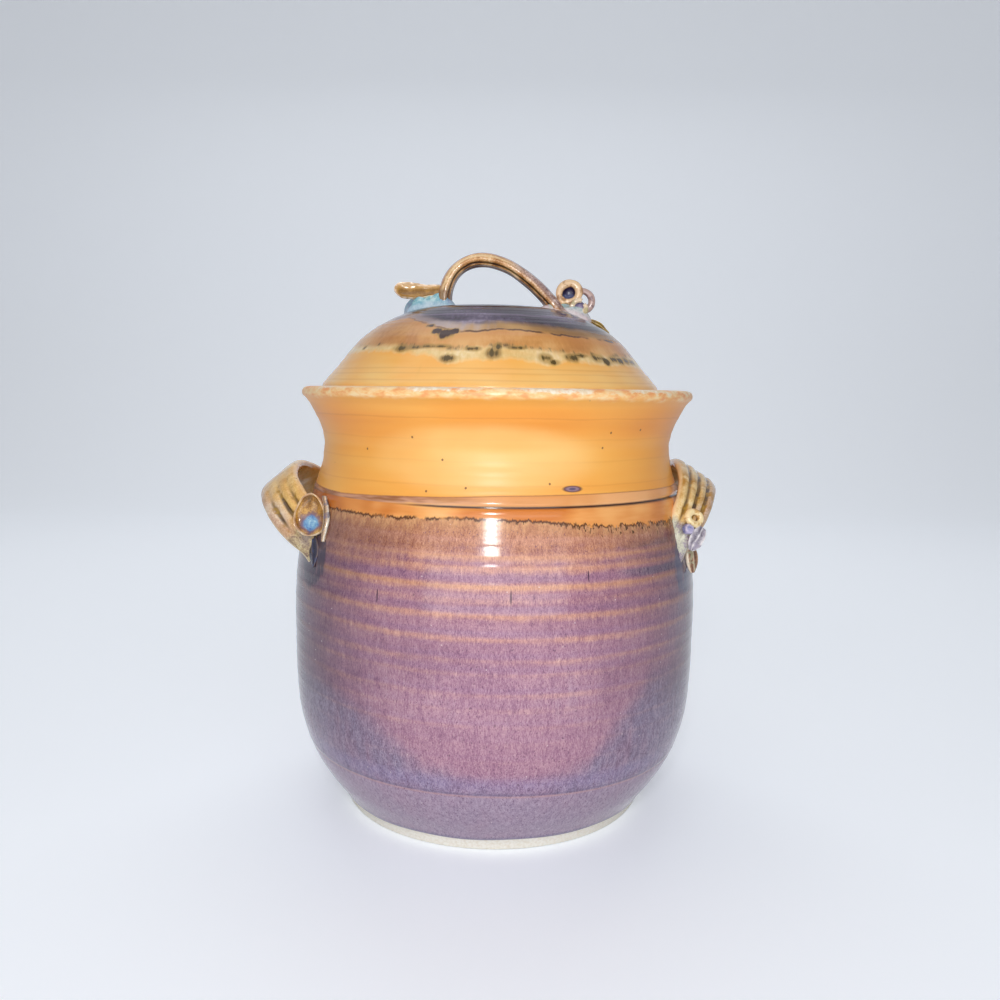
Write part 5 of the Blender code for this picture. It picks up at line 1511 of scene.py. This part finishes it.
def floor_paint():
    """Pale paint that the camera and reflections see lifted towards white, shadows included."""
    material = bpy.data.materials.new("floor")
    material.use_nodes = True
    shader = material.node_tree.nodes["Principled BSDF"]
    shader.inputs["Base Color"].default_value = srgb("dee2e8")
    shader.inputs["Roughness"].default_value = 0.6
    shader.inputs["Emission Color"].default_value = srgb("dee3eb")
    seen_strength(material.node_tree, FLOOR_LIFT, 0.0, shader.inputs["Emission Strength"])
    return material


def stage_set():
    """A pale floor that sweeps up into a backdrop behind the jar."""
    points = [(FLOOR_NEAR, 0.0)]
    for a in np.linspace(0, pi / 2, 24):
        points.append((FLOOR_FAR + SWEEP_RADIUS * sin(a), SWEEP_RADIUS - SWEEP_RADIUS * cos(a)))
    points.append((FLOOR_FAR + SWEEP_RADIUS, BACKDROP_TOP))
    grid = np.array([[(x, y, z) for x in (-STAGE_HALF, STAGE_HALF)] for y, z in points])
    sweep = grid_piece("floor", grid, wrap_columns=False, caps=False)
    sweep.data.materials.append(floor_paint())


def area_light(name, place, target, size, power, mirrored=True):
    """A lamp of a size in metres and a power in watts that faces a target."""
    light = bpy.data.lights.new(name, "AREA")
    light.shape = "RECTANGLE"
    light.size, light.size_y = size
    light.energy = power
    lamp = add_object(name, light)
    lamp.location = place
    aim = Vector(target) - Vector(place)
    lamp.rotation_euler = aim.to_track_quat("-Z", "Y").to_euler()
    lamp.visible_glossy = mirrored


def set_camera():
    data = bpy.data.cameras.new("camera")
    data.lens, data.sensor_width = CAMERA_LENS, CAMERA_SENSOR
    camera = add_object("camera", data)
    camera.matrix_world = (Matrix.Translation(CAMERA_PLACE)
                           @ Matrix.Rotation(pi / 2 + CAMERA_PITCH, 4, "X")
                           @ Matrix.Rotation(CAMERA_ROLL, 4, "Z"))
    bpy.context.scene.camera = camera


def set_world():
    world = bpy.data.worlds.new("world")
    world.use_nodes = True
    background = world.node_tree.nodes["Background"]
    background.inputs["Color"].default_value = (0.95, 0.97, 1.0, 1)
    seen_strength(world.node_tree, WORLD_SEEN, WORLD_LIGHT, background.inputs["Strength"])
    bpy.context.scene.world = world


build_object()
stage_set()
set_world()
area_light("key", (-0.02, -0.62, 0.37), (0.0, 0.0, 0.17), (0.045, 0.12), 1.15)
area_light("front", (0.0, -1.5, 0.70), (0.0, 0.0, 0.16), (2.6, 1.3), 9.8)
area_light("low", (0.0, -1.1, 0.19), (0.0, 0.0, 0.16), (1.6, 0.34), 2.7)
area_light("top", (-0.3, 0.1, 1.5), (0.0, 0.0, 0.1), (1.2, 1.2), 3.0)
area_light("back", (0.0, 1.0, 1.4), (0.0, 0.0, 0.15), (1.6, 0.6), 8.0, mirrored=False)
set_camera()
bpy.context.scene.view_settings.view_transform = "Standard"
